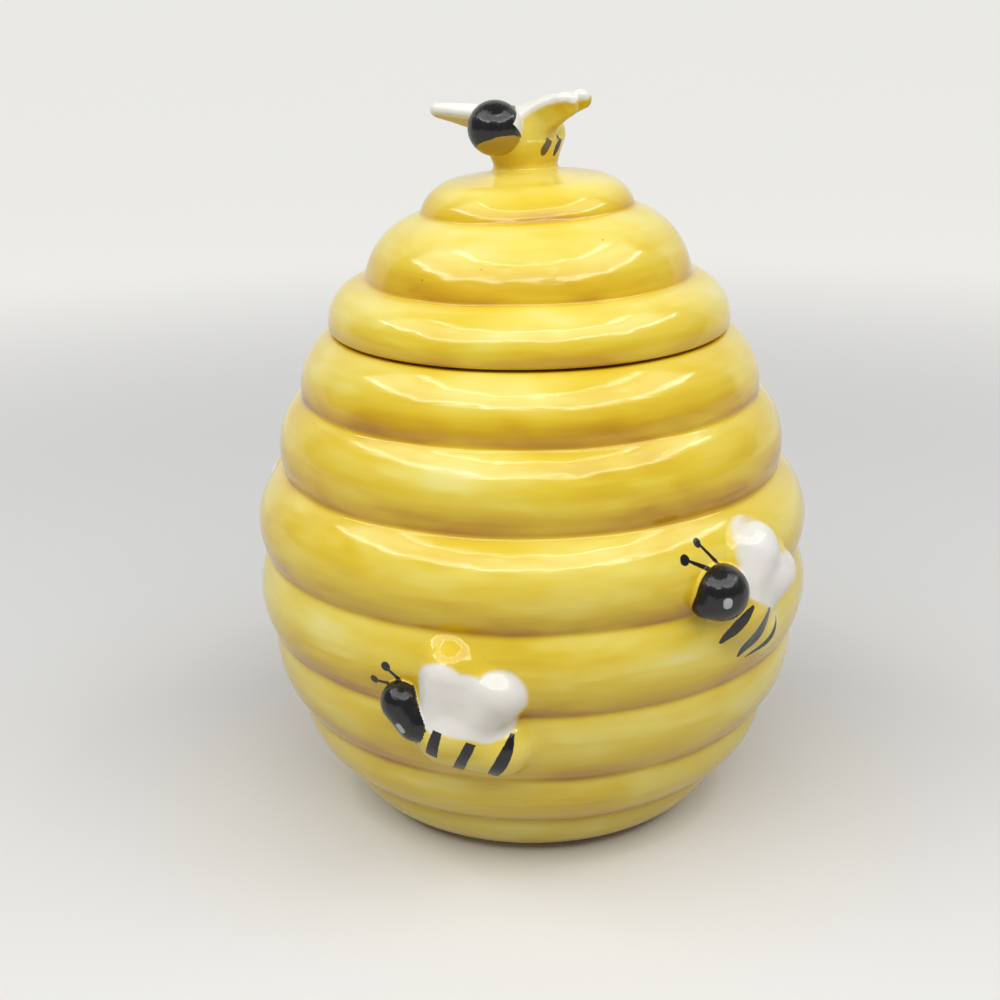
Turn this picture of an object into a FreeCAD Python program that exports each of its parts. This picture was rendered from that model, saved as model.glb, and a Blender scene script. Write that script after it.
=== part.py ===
import FreeCAD, Part
import math
import os
import Sketcher
from FreeCAD import Placement, Rotation, Vector

# A cookie jar in the shape of a coiled straw bee skep, in glazed slip-cast ceramic.
# The pot and its loose lid are hollow shells of stacked coils. A sculpted bee stands on the lid
# as its handle, and three moulded bees sit on the pot's wall.
# Millimetres, +Z up, the pot's axis on Z, the foot on z = 0. The jar's front faces -Y.

doc = FreeCAD.newDocument("beehive_cookie_jar")
sheet = doc.addObject("Spreadsheet::Sheet", "Sizes")
sheet_rows = []


class Size:
    """A number and the sheet expression it comes from, so that a sum of sizes stays bound."""

    def __init__(self, value, text):
        self.value = float(value)
        self.text = text

    def __add__(self, other):
        other = as_size(other)
        return Size(self.value + other.value, f"({self.text} + {other.text})")

    def __sub__(self, other):
        other = as_size(other)
        return Size(self.value - other.value, f"({self.text} - {other.text})")

    def __mul__(self, other):
        other = as_size(other)
        return Size(self.value * other.value, f"({self.text} * {other.text})")

    def __truediv__(self, other):
        other = as_size(other)
        return Size(self.value / other.value, f"({self.text} / {other.text})")

    def root(self):
        return Size(math.sqrt(self.value), f"sqrt({self.text})")


def as_size(number):
    return number if isinstance(number, Size) else Size(number, repr(float(number)))


def size(alias, value, note):
    """Write one driving dimension to the sheet and return it."""
    row = len(sheet_rows) + 1
    sheet_rows.append(alias)
    sheet.set(f"A{row}", alias)
    sheet.set(f"B{row}", str(value))
    sheet.set(f"C{row}", note)
    sheet.setAlias(f"B{row}", alias)
    return Size(value, f"Sizes.{alias}")


def bind(item, prop, value):
    """Bind one property of an object to the sheet."""
    item.setExpression(prop, as_size(value).text)


# Walls, rim and foot
pot_wall = size("pot_wall", 5.5, "thickness of the pot's cast wall")
lid_wall = size("lid_wall", 5.0, "thickness of the lid's cast wall")
foot_radius = size("foot_radius", 55.0, "outside of the foot")
foot_ring = size("foot_ring", 9.0, "width of the bare ring the jar stands on")
foot_recess = size("foot_recess", 2.0, "how far the base is sunk inside that ring")
mouth_radius = size("mouth_radius", 62.0, "the pot's mouth, wide enough for a hand")
rim_edge = size("rim_edge", 1.2, "rounding of the rim's and collar's edges")
collar_radius = size("collar_radius", 60.6, "outside of the lid's locating collar")
collar_wall = size("collar_wall", 5.0, "thickness of the collar")
collar_depth = size("collar_depth", 12.0, "how far the collar drops into the mouth")

# Coils, from the foot up: how high and how wide each one's upper crease is, and how far the
# coil swells past the straight line from crease to crease
pot_coils = []
for number, (height, radius, swell) in enumerate(
    [
        (20.0, 76.0, 4.2),
        (43.0, 89.5, 3.8),
        (71.5, 98.3, 3.6),
        (101.5, 99.3, 4.4),
        (132.5, 91.8, 6.5),
        (160.0, 84.4, 4.5),
        (182.5, 72.8, 3.6),
    ],
    start=1,
):
    pot_coils.append(
        (
            size(f"pot_crease_{number}_height", height, "upper crease of this pot coil"),
            size(f"pot_crease_{number}_radius", radius, "radius at that crease"),
            size(f"pot_swell_{number}", swell, "swell of this pot coil"),
        )
    )
lid_coils = []
for number, (height, radius, swell) in enumerate(
    [
        (201.5, 59.4, 5.4),
        (225.0, 38.6, 4.9),
        (236.2, 23.6, 3.4),
    ],
    start=1,
):
    lid_coils.append(
        (
            size(f"lid_crease_{number}_height", height, "upper edge of this lid coil"),
            size(f"lid_crease_{number}_radius", radius, "radius at that edge"),
            size(f"lid_swell_{number}", swell, "swell of this lid coil"),
        )
    )
crown_height = size("crown_height", 238.7, "top of the lid, under the handle")

# The moulded bees on the pot. A drop is a blunt round end, a cone and a smaller round end, half
# sunk in the wall, and a bee is a head, a drop of a body and two drops of wings
slim_head = size("slim_head", 7.5, "half the width of a head seen from its side")
slim_head_length = size("slim_head_length", 22.4, "length of that head")
round_head = size("round_head", 9.8, "radius of a head seen from its front")
head_lift = size("head_lift", 3.8, "height of a head's middle over the wall")
snout_radius = size("snout_radius", 3.6, "radius of the snout on a round head")
tummy_length = size("tummy_length", 43.0, "length of a body")
tummy_front = size("tummy_front", 14.4, "radius of its front end")
tummy_tail = size("tummy_tail", 11.6, "radius of its tail")
tummy_sink = size("tummy_sink", 5.2, "how deep its axis lies in the wall")
fore_length = size("fore_length", 40.0, "length of a fore wing")
fore_tip = size("fore_tip", 10.2, "radius of its tip")
fore_root = size("fore_root", 8.8, "radius of its root")
hind_length = size("hind_length", 34.0, "length of a hind wing")
hind_tip = size("hind_tip", 9.6, "radius of its tip")
hind_root = size("hind_root", 7.6, "radius of its root")
wing_sink = size("wing_sink", 0.4, "how deep a wing's axis lies in the wall")

# The handle: a bee that stands on the lid
handle_turn = size("handle_turn", 38.0, "how far the bee faces from the jar's front, degrees")
handle_head = size("handle_head", 9.6, "radius of its head")
handle_head_height = size("handle_head_height", 254.0, "height of the head's middle")
handle_head_ahead = size("handle_head_ahead", 13.8, "the head's middle, ahead of the jar's axis")
handle_head_aside = size("handle_head_aside", 3.1, "and to the bee's right of it")
handle_length = size("handle_length", 36.0, "length of its body")
handle_front = size("handle_front", 10.8, "radius of the body's front end")
handle_tail = size("handle_tail", 9.0, "radius of the body's tail")
handle_height = size("handle_height", 250.2, "height of the body's axis")
post_length = size("post_length", 25.4, "length of the foot of the post that the body stands on")
post_half = size("post_half", 9.6, "half the width of that foot")
post_taper = size("post_taper", 10.0, "how much the post widens upwards, degrees")
post_back = size("post_back", 30.4, "end of the post, behind the head's middle")
post_sunk = size("post_sunk", 4.0, "how far the post starts below the crown")
post_rise = size("post_rise", 14.0, "height of the post")
leaf_thick = size("leaf_thick", 6.6, "thickness of a handle wing")
leaf_edge = size("leaf_edge", 3.0, "rounding of a handle wing's edge")
leaf_root = size("leaf_root", 6.4, "radius of a fore lobe's root")
leaf_tip = size("leaf_tip", 4.9, "radius of a fore lobe's tip")
lobe_root = size("lobe_root", 5.0, "radius of a hind lobe's root")
lobe_tip = size("lobe_tip", 4.4, "radius of a hind lobe's tip")


def origin_plane(body, role):
    for feature in body.Origin.OriginFeatures:
        if feature.Role == role:
            return feature
    raise RuntimeError(f"{body.Label} has no {role}")


def new_body(label, role, purpose):
    """A body and one sketch of it on the named plane."""
    body = doc.addObject("PartDesign::Body", label)
    sketch = body.newObject("Sketcher::SketchObject", f"{label}_{purpose}")
    sketch.AttachmentSupport = (origin_plane(body, role), [""])
    sketch.MapMode = "FlatFace"
    return body, sketch


def pin_point(sketch, piece, end, across, up):
    """Hold one end of an edge at a place given by the sheet."""
    for kind, axis, place in (("DistanceX", -2, across), ("DistanceY", -1, up)):
        if abs(place.value) < 1e-9:
            sketch.addConstraint(Sketcher.Constraint("PointOnObject", piece, end, axis))
            continue
        index = sketch.addConstraint(Sketcher.Constraint(kind, -1, 1, piece, end, place.value))
        sketch.setExpression(f"Constraints[{index}]", place.text)


def arc_between(start, end, radius, turn):
    """The arc under a half circle from start to end. turn +1 swells to the right of the way."""
    chord = end - start
    right = Vector(chord.y, -chord.x, 0).normalize()
    back = math.sqrt(radius ** 2 - (chord.Length / 2) ** 2)
    centre = (start + end) / 2 - right * back * turn
    middle = centre + right * radius * turn
    return Part.Arc(start, middle, end)


def draw_outline(sketch, corners):
    """Close a chain of corners. Each is (across, up, edge to the next one), and an edge is None
    for a straight line or (radius, turn) for an arc."""
    count = len(corners)
    spots = [Vector(across.value, up.value, 0) for across, up, edge in corners]
    for index, (across, up, edge) in enumerate(corners):
        start = spots[index]
        end = spots[(index + 1) % count]
        if edge is None:
            sketch.addGeometry(Part.LineSegment(start, end), False)
        else:
            radius, turn = edge
            sketch.addGeometry(arc_between(start, end, radius.value, turn), False)
    # An arc of a sketch runs counterclockwise, so its start may be the outline's far corner
    ends = []
    for index in range(count):
        near = (sketch.getPoint(index, 1) - spots[index]).Length < 1e-6
        ends.append((1, 2) if near else (2, 1))
    for index, (across, up, edge) in enumerate(corners):
        following = (index + 1) % count
        sketch.addConstraint(
            Sketcher.Constraint("Coincident", index, ends[index][1], following, ends[following][0])
        )
        pin_point(sketch, index, ends[index][0], across, up)
        if edge is not None:
            bound = sketch.addConstraint(Sketcher.Constraint("Radius", index, edge[0].value))
            sketch.setExpression(f"Constraints[{bound}]", edge[0].text)


def spin(body, sketch, axis):
    """Turn the sketch once round one of its own axes."""
    turned = body.newObject("PartDesign::Revolution", f"{body.Name}_turned")
    turned.Profile = sketch
    turned.ReferenceAxis = (sketch, [axis])
    turned.Angle = 360
    body.Tip = turned
    return turned


class Coil:
    """The circle of one coil's outside, through two creases."""

    def __init__(self, low, high, swell):
        across = high[0] - low[0]
        up = high[1] - low[1]
        chord = (across * across + up * up).root()
        self.radius = chord * chord / (swell * 8) + swell / 2
        back = self.radius - swell
        self.across = (low[0] + high[0]) / 2 - up / chord * back
        self.up = (low[1] + high[1]) / 2 + across / chord * back

    def inner(self, crease, wall):
        """Where the wall's inside stands behind a crease."""
        share = wall / self.radius
        return (
            crease[0] + (self.across - crease[0]) * share,
            crease[1] + (self.up - crease[1]) * share,
        )

    def inside_at(self, height, wall):
        """Radius of the coil's inside at a height."""
        reach = self.radius - wall
        rise = height - self.up
        return self.across + (reach * reach - rise * rise).root()


def stack_of(start, coils):
    """Creases and coil circles from a first crease up."""
    creases = [start]
    circles = []
    for height, radius, swell in coils:
        crease = (radius, height)
        circles.append(Coil(creases[-1], crease, swell))
        creases.append(crease)
    return creases, circles


def outside(creases, circles):
    """Corners up the outside of a stack, without its last crease."""
    corners = []
    for crease, circle in zip(creases, circles):
        corners.append((crease[0], crease[1], (circle.radius, 1)))
    return corners


def inside(creases, circles, wall):
    """Corners down the inside: coils, and a round of the wall's thickness behind each crease."""
    corners = []
    for index in reversed(range(len(circles))):
        circle = circles[index]
        top = circle.inner(creases[index + 1], wall)
        bottom = circle.inner(creases[index], wall)
        corners.append((top[0], top[1], (circle.radius - wall, -1)))
        corners.append((bottom[0], bottom[1], (wall, 1)))
    return corners


zero = Size(0, "0")
pot_creases, pot_circles = stack_of((foot_radius, zero), pot_coils)
rim_radius, rim_height = pot_creases[-1]
lid_creases, lid_circles = stack_of((rim_radius, rim_height), lid_coils)

shoulder = lid_creases[-1]
crown_rise = crown_height - shoulder[1]
crown_radius = (shoulder[0] * shoulder[0] + crown_rise * crown_rise) / (crown_rise * 2)


def round_edges(body, base, radius, rings):
    """Round the circular edges at the given (radius, height) rings about Z."""
    doc.recompute()
    names = []
    for number, edge in enumerate(base.Shape.Edges, start=1):
        if edge.Degenerated or not isinstance(edge.Curve, Part.Circle):
            continue
        curve = edge.Curve
        for ring_radius, ring_height in rings:
            same_size = abs(curve.Radius - ring_radius.value) < 1e-3
            if same_size and abs(curve.Center.z - ring_height.value) < 1e-3:
                names.append(f"Edge{number}")
    if len(names) != len(rings):
        raise RuntimeError(f"{body.Label}: {len(names)} edges found for {len(rings)} rings")
    rounded = body.newObject("PartDesign::Fillet", f"{body.Name}_rounded")
    rounded.Base = (base, names)
    bind(rounded, "Radius", radius)
    body.Tip = rounded


def make_pot():
    """The pot: coils outside and in, a flat rim with a mouth, and a sunk base."""
    body, sketch = new_body("pot_body", "XZ_Plane", "section")
    inner = inside(pot_creases, pot_circles, pot_wall)
    floor_edge = inner.pop()
    floor_top = foot_recess + pot_wall
    ring_inside = foot_radius - foot_ring
    corners = outside(pot_creases, pot_circles)
    corners.append((rim_radius, rim_height, None))
    corners.append((mouth_radius, rim_height, None))
    corners.append((mouth_radius, rim_height - pot_wall, None))
    corners += inner
    corners.append((floor_edge[0], floor_edge[1], None))
    corners.append((ring_inside, floor_top, None))
    corners.append((zero, floor_top, None))
    corners.append((zero, foot_recess, None))
    corners.append((ring_inside - foot_recess, foot_recess, None))
    corners.append((ring_inside, zero, None))
    draw_outline(sketch, corners)
    turned = spin(body, sketch, "V_Axis")
    round_edges(body, turned, rim_edge, [(rim_radius, rim_height), (mouth_radius, rim_height)])
    return body


def make_lid():
    """The lid: a hollow dome of three coils on a flat seat, with a collar that finds the mouth."""
    body, sketch = new_body("lid_shell", "XZ_Plane", "section")
    collar_inside = collar_radius - collar_wall
    collar_foot = rim_height - collar_depth
    hollow_floor = rim_height + lid_wall
    inner = inside(lid_creases, lid_circles, lid_wall)
    inner.pop()
    corners = outside(lid_creases, lid_circles)
    corners.append((shoulder[0], shoulder[1], (crown_radius, 1)))
    corners.append((zero, crown_height, None))
    corners.append((zero, crown_height - lid_wall, (crown_radius - lid_wall, -1)))
    corners += inner
    corners.append((lid_circles[0].inside_at(hollow_floor, lid_wall), hollow_floor, None))
    corners.append((collar_inside, hollow_floor, None))
    corners.append((collar_inside, collar_foot, None))
    corners.append((collar_radius, collar_foot, None))
    corners.append((collar_radius, rim_height, None))
    draw_outline(sketch, corners)
    turned = spin(body, sketch, "V_Axis")
    rings = [(rim_radius, rim_height), (collar_radius, collar_foot), (collar_inside, collar_foot)]
    round_edges(body, turned, rim_edge, rings)
    return body


def make_form(label, creases, circles, closing):
    """A stack of coils with no hollow, to cut what is pressed onto its outside."""
    body, sketch = new_body(label, "XZ_Plane", "outline")
    corners = outside(creases, circles) + closing
    corners.append((zero, creases[0][1], None))
    draw_outline(sketch, corners)
    spin(body, sketch, "V_Axis")
    return body


def make_drop(label, length, front, back):
    """A round end, a cone and another round end about the drop's own X axis, from x = 0 on."""
    body, sketch = new_body(label, "XY_Plane", "outline")
    lean = (front - back) / (length - front - back)
    rise = (as_size(1) - lean * lean).root()
    draw_outline(
        sketch,
        [
            (zero, zero, (front, -1)),
            (front + front * lean, front * rise, None),
            (length - back + back * lean, back * rise, (back, -1)),
            (length, zero, None),
        ],
    )
    spin(body, sketch, "H_Axis")
    return body


def make_slot(label, root, tip, reach, height):
    """A slot that may taper, padded upwards. Its root's centre is the origin."""
    body, sketch = new_body(label, "XY_Plane", "outline")
    lean = math.asin((tip.value - root.value) / reach.value)
    up = math.pi / 2 + lean
    circle = Part.Circle(Vector(0, 0, 0), Vector(0, 0, 1), root.value)
    sketch.addGeometry(Part.ArcOfCircle(circle, up, 2 * math.pi - up), False)
    circle = Part.Circle(Vector(reach.value, 0, 0), Vector(0, 0, 1), tip.value)
    sketch.addGeometry(Part.ArcOfCircle(circle, -up, up), False)
    for near, far in ((1, 2), (2, 1)):
        start = sketch.getPoint(0, near)
        end = sketch.getPoint(1, far)
        sketch.addGeometry(Part.LineSegment(start, end), False)
    for line, near, far in ((2, 1, 2), (3, 2, 1)):
        sketch.addConstraint(Sketcher.Constraint("Tangent", 0, near, line, 1))
        sketch.addConstraint(Sketcher.Constraint("Tangent", line, 2, 1, far))
    sketch.addConstraint(Sketcher.Constraint("Coincident", 0, 3, -1, 1))
    pin_point(sketch, 1, 3, reach, zero)
    for arc, radius in ((0, root), (1, tip)):
        bound = sketch.addConstraint(Sketcher.Constraint("Radius", arc, radius.value))
        sketch.setExpression(f"Constraints[{bound}]", radius.text)
    pad = body.newObject("PartDesign::Pad", f"{body.Name}_pad")
    pad.Profile = sketch
    bind(pad, "Length", height)
    body.Tip = pad
    return body


def make_leaf(label, root, tip, reach, thickness, edge):
    """A wing that stands free: a tapered slot, half its thickness to each side, edges rounded."""
    body = make_slot(label, root, tip, reach, thickness)
    pad = body.Tip
    pad.Midplane = True
    doc.recompute()
    names = []
    for number, border in enumerate(pad.Shape.Edges, start=1):
        box = border.BoundBox
        if box.ZMax - box.ZMin < 1e-6:
            names.append(f"Edge{number}")
    rounded = body.newObject("PartDesign::Fillet", f"{body.Name}_rounded")
    rounded.Base = (pad, names)
    bind(rounded, "Radius", edge)
    body.Tip = rounded
    return body


def make_post():
    """The post under the handle: a slot's outline, padded. It starts at its back end's centre."""
    reach = post_length - post_half * 2
    post = make_slot("handle_post", post_half, post_half, reach, post_rise)
    bind(post.Tip, "TaperAngle", post_taper)
    return post


def make_ball(label, radius):
    ball = doc.addObject("Part::Sphere", label)
    bind(ball, "Radius", radius)
    return ball


def cut(label, base, tools):
    """Take the tools away from the base, one after another."""
    for number, tool in enumerate(tools, start=1):
        last = number == len(tools)
        step = doc.addObject("Part::Cut", label if last else f"{label}_step_{number}")
        step.Base = base
        step.Tool = tool
        base = step
    return base


def join(label, first, second):
    whole = doc.addObject("Part::Fuse", label)
    whole.Base = first
    whole.Tool = second
    return whole


def on_wall(azimuth, height, radius, out, roll):
    """A frame on the pot's wall: x round the wall to the right, y up and z outwards, then rolled
    about z. Azimuth 0 is the front and grows to the right, seen from the front."""
    turn = Rotation(Vector(0, 0, 1), azimuth) * Rotation(Vector(1, 0, 0), 90)
    side = math.radians(azimuth)
    reach = radius + out
    spot = Vector(reach * math.sin(side), -reach * math.cos(side), height)
    return Placement(spot, turn * Rotation(Vector(0, 0, 1), roll))


def centred(placement, length):
    """Bring a drop's middle to the place, with the seam of its surface turned into the wall."""
    back = Placement(Vector(-length.value / 2, 0, 0), Rotation(Vector(1, 0, 0), -90))
    return placement * back


pot_form = make_form("pot_form", pot_creases, pot_circles, [(rim_radius, rim_height, None)])
crown_corners = [(shoulder[0], shoulder[1], (crown_radius, 1)), (zero, crown_height, None)]
lid_form = make_form("lid_form", lid_creases, lid_circles, crown_corners)


class WallBee:
    """A moulded bee on the pot, head to the left, bent round the wall. Its places run from the
    middle of its head, x to the tail, y upwards, and a spot is (x, y, turn) of a piece's middle."""

    def __init__(self, name, azimuth, height, radius, roll):
        self.name = name
        self.azimuth = size(f"{name}_azimuth", azimuth, "head's place round the pot, degrees")
        self.height = size(f"{name}_height", height, "height of the head's middle")
        self.radius = size(f"{name}_radius", radius, "radius of the wall where the bee sits")
        self.roll = size(f"{name}_roll", roll, "how far the bee's nose points up, degrees")

    def place(self, spot, out):
        """The frame of a spot, so far out from the wall."""
        x, y, turn = spot
        lean = math.radians(self.roll.value)
        along = x * math.cos(lean) - y * math.sin(lean)
        rise = x * math.sin(lean) + y * math.cos(lean)
        azimuth = self.azimuth.value + math.degrees(along / self.radius.value)
        height = self.height.value + rise
        return on_wall(azimuth, height, self.radius.value, out, self.roll.value + turn)

    def drop(self, piece, sizes, spot, out):
        """A drop of (length, front radius, back radius) with its middle at the spot."""
        shape = make_drop(f"{self.name}_{piece}", *sizes)
        shape.Placement = centred(self.place(spot, out), sizes[0])
        return shape

    def side_face(self, spot):
        """A head that looks along the wall: a long narrow one."""
        sizes = (slim_head_length, slim_head, slim_head)
        return self.drop("face", sizes, spot, head_lift.value)

    def front_face(self, snout_spot):
        """A head that looks out from the wall: a ball with a snout."""
        lift = head_lift.value
        skull = make_ball(f"{self.name}_skull", round_head)
        skull.Placement = self.place((0.0, 0.0, 0.0), lift)
        snout = make_ball(f"{self.name}_snout", snout_radius)
        snout.Placement = self.place(snout_spot, lift)
        return join(f"{self.name}_face", skull, snout)

    def build(self, face, tummy_spot, fore_spot, hind_spot):
        """Head, body and wings, each cut to seat on the coils and on the pieces it meets."""
        name = self.name
        tummy_sizes = (tummy_length, tummy_front, tummy_tail)
        tummy = self.drop("tummy", tummy_sizes, tummy_spot, -tummy_sink.value)
        fore_sizes = (fore_length, fore_tip, fore_root)
        fore = self.drop("fore", fore_sizes, fore_spot, -wing_sink.value)
        hind_sizes = (hind_length, hind_tip, hind_root)
        hind = self.drop("hind", hind_sizes, hind_spot, -wing_sink.value)
        return [
            cut(f"{name}_body", tummy, [pot_form, face, fore, hind]),
            cut(f"{name}_head", face, [pot_form]),
            cut(f"{name}_fore_wing", fore, [pot_form, face]),
            cut(f"{name}_hind_wing", hind, [pot_form, fore]),
        ]


class Lobe:
    """One lobe of a handle wing, from its root's middle to its tip's end, pitched about that line."""

    def __init__(self, name, root, tip, start, end, pitch):
        self.name = name
        self.root = root
        self.tip = tip
        self.start = Vector(*start)
        self.span = Vector(*end) - self.start
        self.pitch = pitch

    def build(self, forward):
        up = Vector(0, 0, 1)
        reach = round(self.span.Length - self.tip.value, 1)
        length = size(f"{self.name}_length", reach, "root centre to tip centre")
        leaf = make_leaf(self.name, self.root, self.tip, length, leaf_thick, leaf_edge)
        level = Rotation(self.span, forward * -1, up, "XYZ")
        pitch = self.pitch
        if level.multVec(up).z < 0:
            level = level * Rotation(Vector(1, 0, 0), 180)
            pitch = -pitch
        leaf.Placement = Placement(self.start, level * Rotation(Vector(1, 0, 0), -pitch))
        return leaf


left_fore_lobe = Lobe(
    "left_fore_lobe", leaf_root, leaf_tip, start=(-1.0, -5.0, 253.4), end=(19.4, -13.0, 264.4), pitch=48.0
)
left_hind_lobe = Lobe(
    "left_hind_lobe", lobe_root, lobe_tip, start=(4.5, 0.5, 253.5), end=(20.2, -9.5, 265.4), pitch=42.0
)
right_fore_lobe = Lobe(
    "right_fore_lobe", leaf_root, leaf_tip, start=(-7.0, 1.0, 253.8), end=(-34.2, 11.0, 257.9), pitch=35.0
)
right_hind_lobe = Lobe(
    "right_hind_lobe", lobe_root, lobe_tip, start=(-3.5, 7.0, 252.5), end=(-27.0, 18.0, 257.0), pitch=32.0
)


def make_handle():
    """The bee on the lid: a body on a post, a ball of a head and two lobes to each wing."""
    side = math.radians(handle_turn.value)
    forward = Vector(-math.sin(side), -math.cos(side), 0)
    right = Vector(forward.y, -forward.x, 0)
    up = Vector(0, 0, 1)
    middle = forward * handle_head_ahead.value + right * handle_head_aside.value
    back = Rotation(forward * -1, up.cross(forward * -1), up, "XZY")
    skull = make_ball("finial_head", handle_head)
    skull.Placement = Placement(middle + up * handle_head_height.value, Rotation())
    tummy = make_drop("handle_tummy", handle_length, handle_front, handle_tail)
    tummy_spot = middle + up * handle_height.value
    tummy.Placement = Placement(tummy_spot, back * Rotation(Vector(1, 0, 0), -90))
    post = make_post()
    post_spot = middle - forward * (post_back.value - post_half.value)
    post_spot += up * (crown_height.value - post_sunk.value)
    post.Placement = Placement(post_spot, back * Rotation(Vector(0, 0, 1), 180))
    whole = join("handle_whole", tummy, post)
    pieces = [cut("finial_body", whole, [lid_form, skull]), skull]
    for side_name, fore_lobe, hind_lobe in (
        ("left", left_fore_lobe, left_hind_lobe),
        ("right", right_fore_lobe, right_hind_lobe),
    ):
        fore = fore_lobe.build(forward)
        hind = hind_lobe.build(forward)
        pieces.append(cut(f"finial_{side_name}_fore_wing", fore, [whole, skull]))
        pieces.append(cut(f"finial_{side_name}_hind_wing", hind, [whole, skull, fore]))
    return pieces


kept = [make_pot(), make_lid()]
kept += make_handle()

front_bee = WallBee("front_bee", azimuth=-23.3, height=73.0, radius=99.5, roll=-14.0)
kept += front_bee.build(
    face=front_bee.side_face((-0.6, 0.0, 143.0)),
    tummy_spot=(20.4, -4.4, -4.0),
    fore_spot=(9.0, 8.2, -86.0),
    hind_spot=(23.6, 7.4, -108.0),
)
for name, azimuth, height, roll in (
    ("right_bee", 36.6, 110.0, -34.0),
    ("left_bee", -127.0, 106.0, -14.0),
):
    bee = WallBee(name, azimuth, height, radius=100.5, roll=roll)
    kept += bee.build(
        face=bee.front_face((-4.0, -6.6, 0.0)),
        tummy_spot=(22.0, -3.6, -4.0),
        fore_spot=(10.8, 8.2, -85.0),
        hind_spot=(24.5, 9.0, -116.0),
    )

doc.recompute()
for item in doc.Objects:
    if "Invalid" in item.State or "Error" in item.State:
        raise RuntimeError(f"{item.Label} failed: {item.State}")
for item in kept:
    shape = item.Shape
    if shape.isNull() or not shape.isValid() or len(shape.Solids) != 1:
        raise RuntimeError(f"{item.Label} is not one valid solid")

os.makedirs("parts", exist_ok=True)
for item in kept:
    item.Shape.exportStep(f"parts/{item.Label}.step")
    box = item.Shape.optimalBoundingBox()
    low = f"z {box.ZMin:.1f} to {box.ZMax:.1f}"
    print(f"{item.Label}: {item.Shape.Volume:.0f} mm3, {box.XLength:.1f} x {box.YLength:.1f} mm, {low}")
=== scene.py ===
# %% [markdown]
# # A beehive cookie jar
#
# The jar is slip-cast ceramic: a pot and a loose lid built like the stacked straw coils of a bee
# skep, under a glossy, hand-brushed yellow glaze. A bee stands on the lid as its handle, and three
# bees are moulded on the pot's wall.
#
# The construction comes as a fixed frame of solids, and this file gives it its looks. Clay has no
# sharp lines: where a bee meets the wall, glaze and clay run into a soft corner. So the surfaces are
# made again here, on the same sizes, with those soft corners and with the slight waver of a thing
# that was cast and brushed by hand.

import itertools
import math

import bpy
import numpy as np
from mathutils import Matrix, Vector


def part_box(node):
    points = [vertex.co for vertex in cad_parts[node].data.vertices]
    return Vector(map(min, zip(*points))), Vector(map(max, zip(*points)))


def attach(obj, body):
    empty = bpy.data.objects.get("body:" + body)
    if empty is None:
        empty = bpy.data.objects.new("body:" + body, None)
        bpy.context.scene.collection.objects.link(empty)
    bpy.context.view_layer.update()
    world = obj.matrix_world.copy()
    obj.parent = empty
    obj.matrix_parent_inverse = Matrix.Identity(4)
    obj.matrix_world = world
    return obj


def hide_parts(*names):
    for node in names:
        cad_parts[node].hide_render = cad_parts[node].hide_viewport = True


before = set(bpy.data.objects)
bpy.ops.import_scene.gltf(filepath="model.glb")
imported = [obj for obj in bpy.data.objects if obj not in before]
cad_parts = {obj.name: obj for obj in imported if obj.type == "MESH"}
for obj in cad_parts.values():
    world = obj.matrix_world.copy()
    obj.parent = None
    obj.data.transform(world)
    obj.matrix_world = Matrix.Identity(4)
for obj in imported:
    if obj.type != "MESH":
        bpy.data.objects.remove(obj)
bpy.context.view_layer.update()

# %% [markdown]
# ## The coils
#
# Every coil is one arc from crease to crease, so three numbers give it: the height and the radius of
# its upper crease, and how far it swells past the straight line between its creases. Seen in
# section, the jar is a chain of such arcs. All shapes here are worked out in millimetres, as a potter
# would measure them, and become metres when they turn into meshes.
#
# A row of a section holds more than its place. It also says how far the spot lies on the underside
# of its coil, how near it is to a crease, whether it is outside, and whether it is bare clay. The
# glaze reads these later: a glaze is thicker where it can gather, and the undersides of the coils
# also get a darker amber as painted shade, since they face away from the lamps.

# %% Sizes of the coils
POT_COILS = [
    (20.0, 76.0, 4.2),
    (43.0, 89.5, 3.8),
    (71.5, 98.3, 3.6),
    (101.5, 99.3, 4.4),
    (132.5, 91.8, 6.5),
    (160.0, 84.4, 4.5),
    (182.5, 72.8, 3.6),
]
LID_COILS = [
    (201.5, 59.4, 5.4),
    (225.0, 38.6, 4.9),
    (236.2, 23.6, 3.4),
]
FOOT_RADIUS = 55.0
FOOT_RING = 9.0
FOOT_RECESS = 2.0
RIM_HEIGHT, RIM_RADIUS = POT_COILS[-1][:2]
MOUTH_RADIUS = 62.0
CROWN_HEIGHT = 238.7
POT_WALL = 5.5
LID_WALL = 5.0
COLLAR_RADIUS = 60.6
COLLAR_WALL = 5.0
COLLAR_DEPTH = 12.0
EDGE_GAP, EDGE_INSET = 1.1, 5.0
MM = 0.001

RADIUS, HEIGHT, UNDERSIDE_GLAZE_AND_SHADE, POOL, OUTSIDE, BARE = range(6)


def smooth_step(low, high, value):
    """0 below low, 1 above high, and an easy slope between."""
    share = np.clip((value - low) / (high - low), 0, 1)
    return share * share * (3 - 2 * share)


def rows(points, outside=0.0, bare=0.0, under=0.0):
    """Section rows of straight stretches."""
    table = np.zeros((len(points), 6))
    table[:, :2] = points
    table[:, UNDERSIDE_GLAZE_AND_SHADE] = under
    table[:, OUTSIDE] = outside
    table[:, BARE] = bare
    return table


def bow(start, end, swell, count=120):
    """Section rows along one coil's arc, which swells to the right of the way."""
    start = np.array(start)
    end = np.array(end)
    chord = end - start
    length = np.hypot(*chord)
    radius = length ** 2 / (8 * swell) + swell / 2
    along = chord / length
    right = np.array([along[1], -along[0]])
    centre = (start + end) / 2 - right * (radius - swell)
    half = math.asin(length / 2 / radius)
    turn = np.linspace(-half, half, count)[:, None]
    table = rows(centre + radius * (np.cos(turn) * right + np.sin(turn) * along), outside=1.0)
    share = np.linspace(0, 1, count)
    # High on the lower part of each coil: glaze gathered there, and painted shade of the coil's
    # underside.
    table[:, UNDERSIDE_GLAZE_AND_SHADE] = 1 - smooth_step(0.0, 0.6, share)
    edge = length * np.minimum(share, 1 - share)
    table[:, POOL] = np.exp(-(edge / 1.5) ** 2)
    return table


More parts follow.
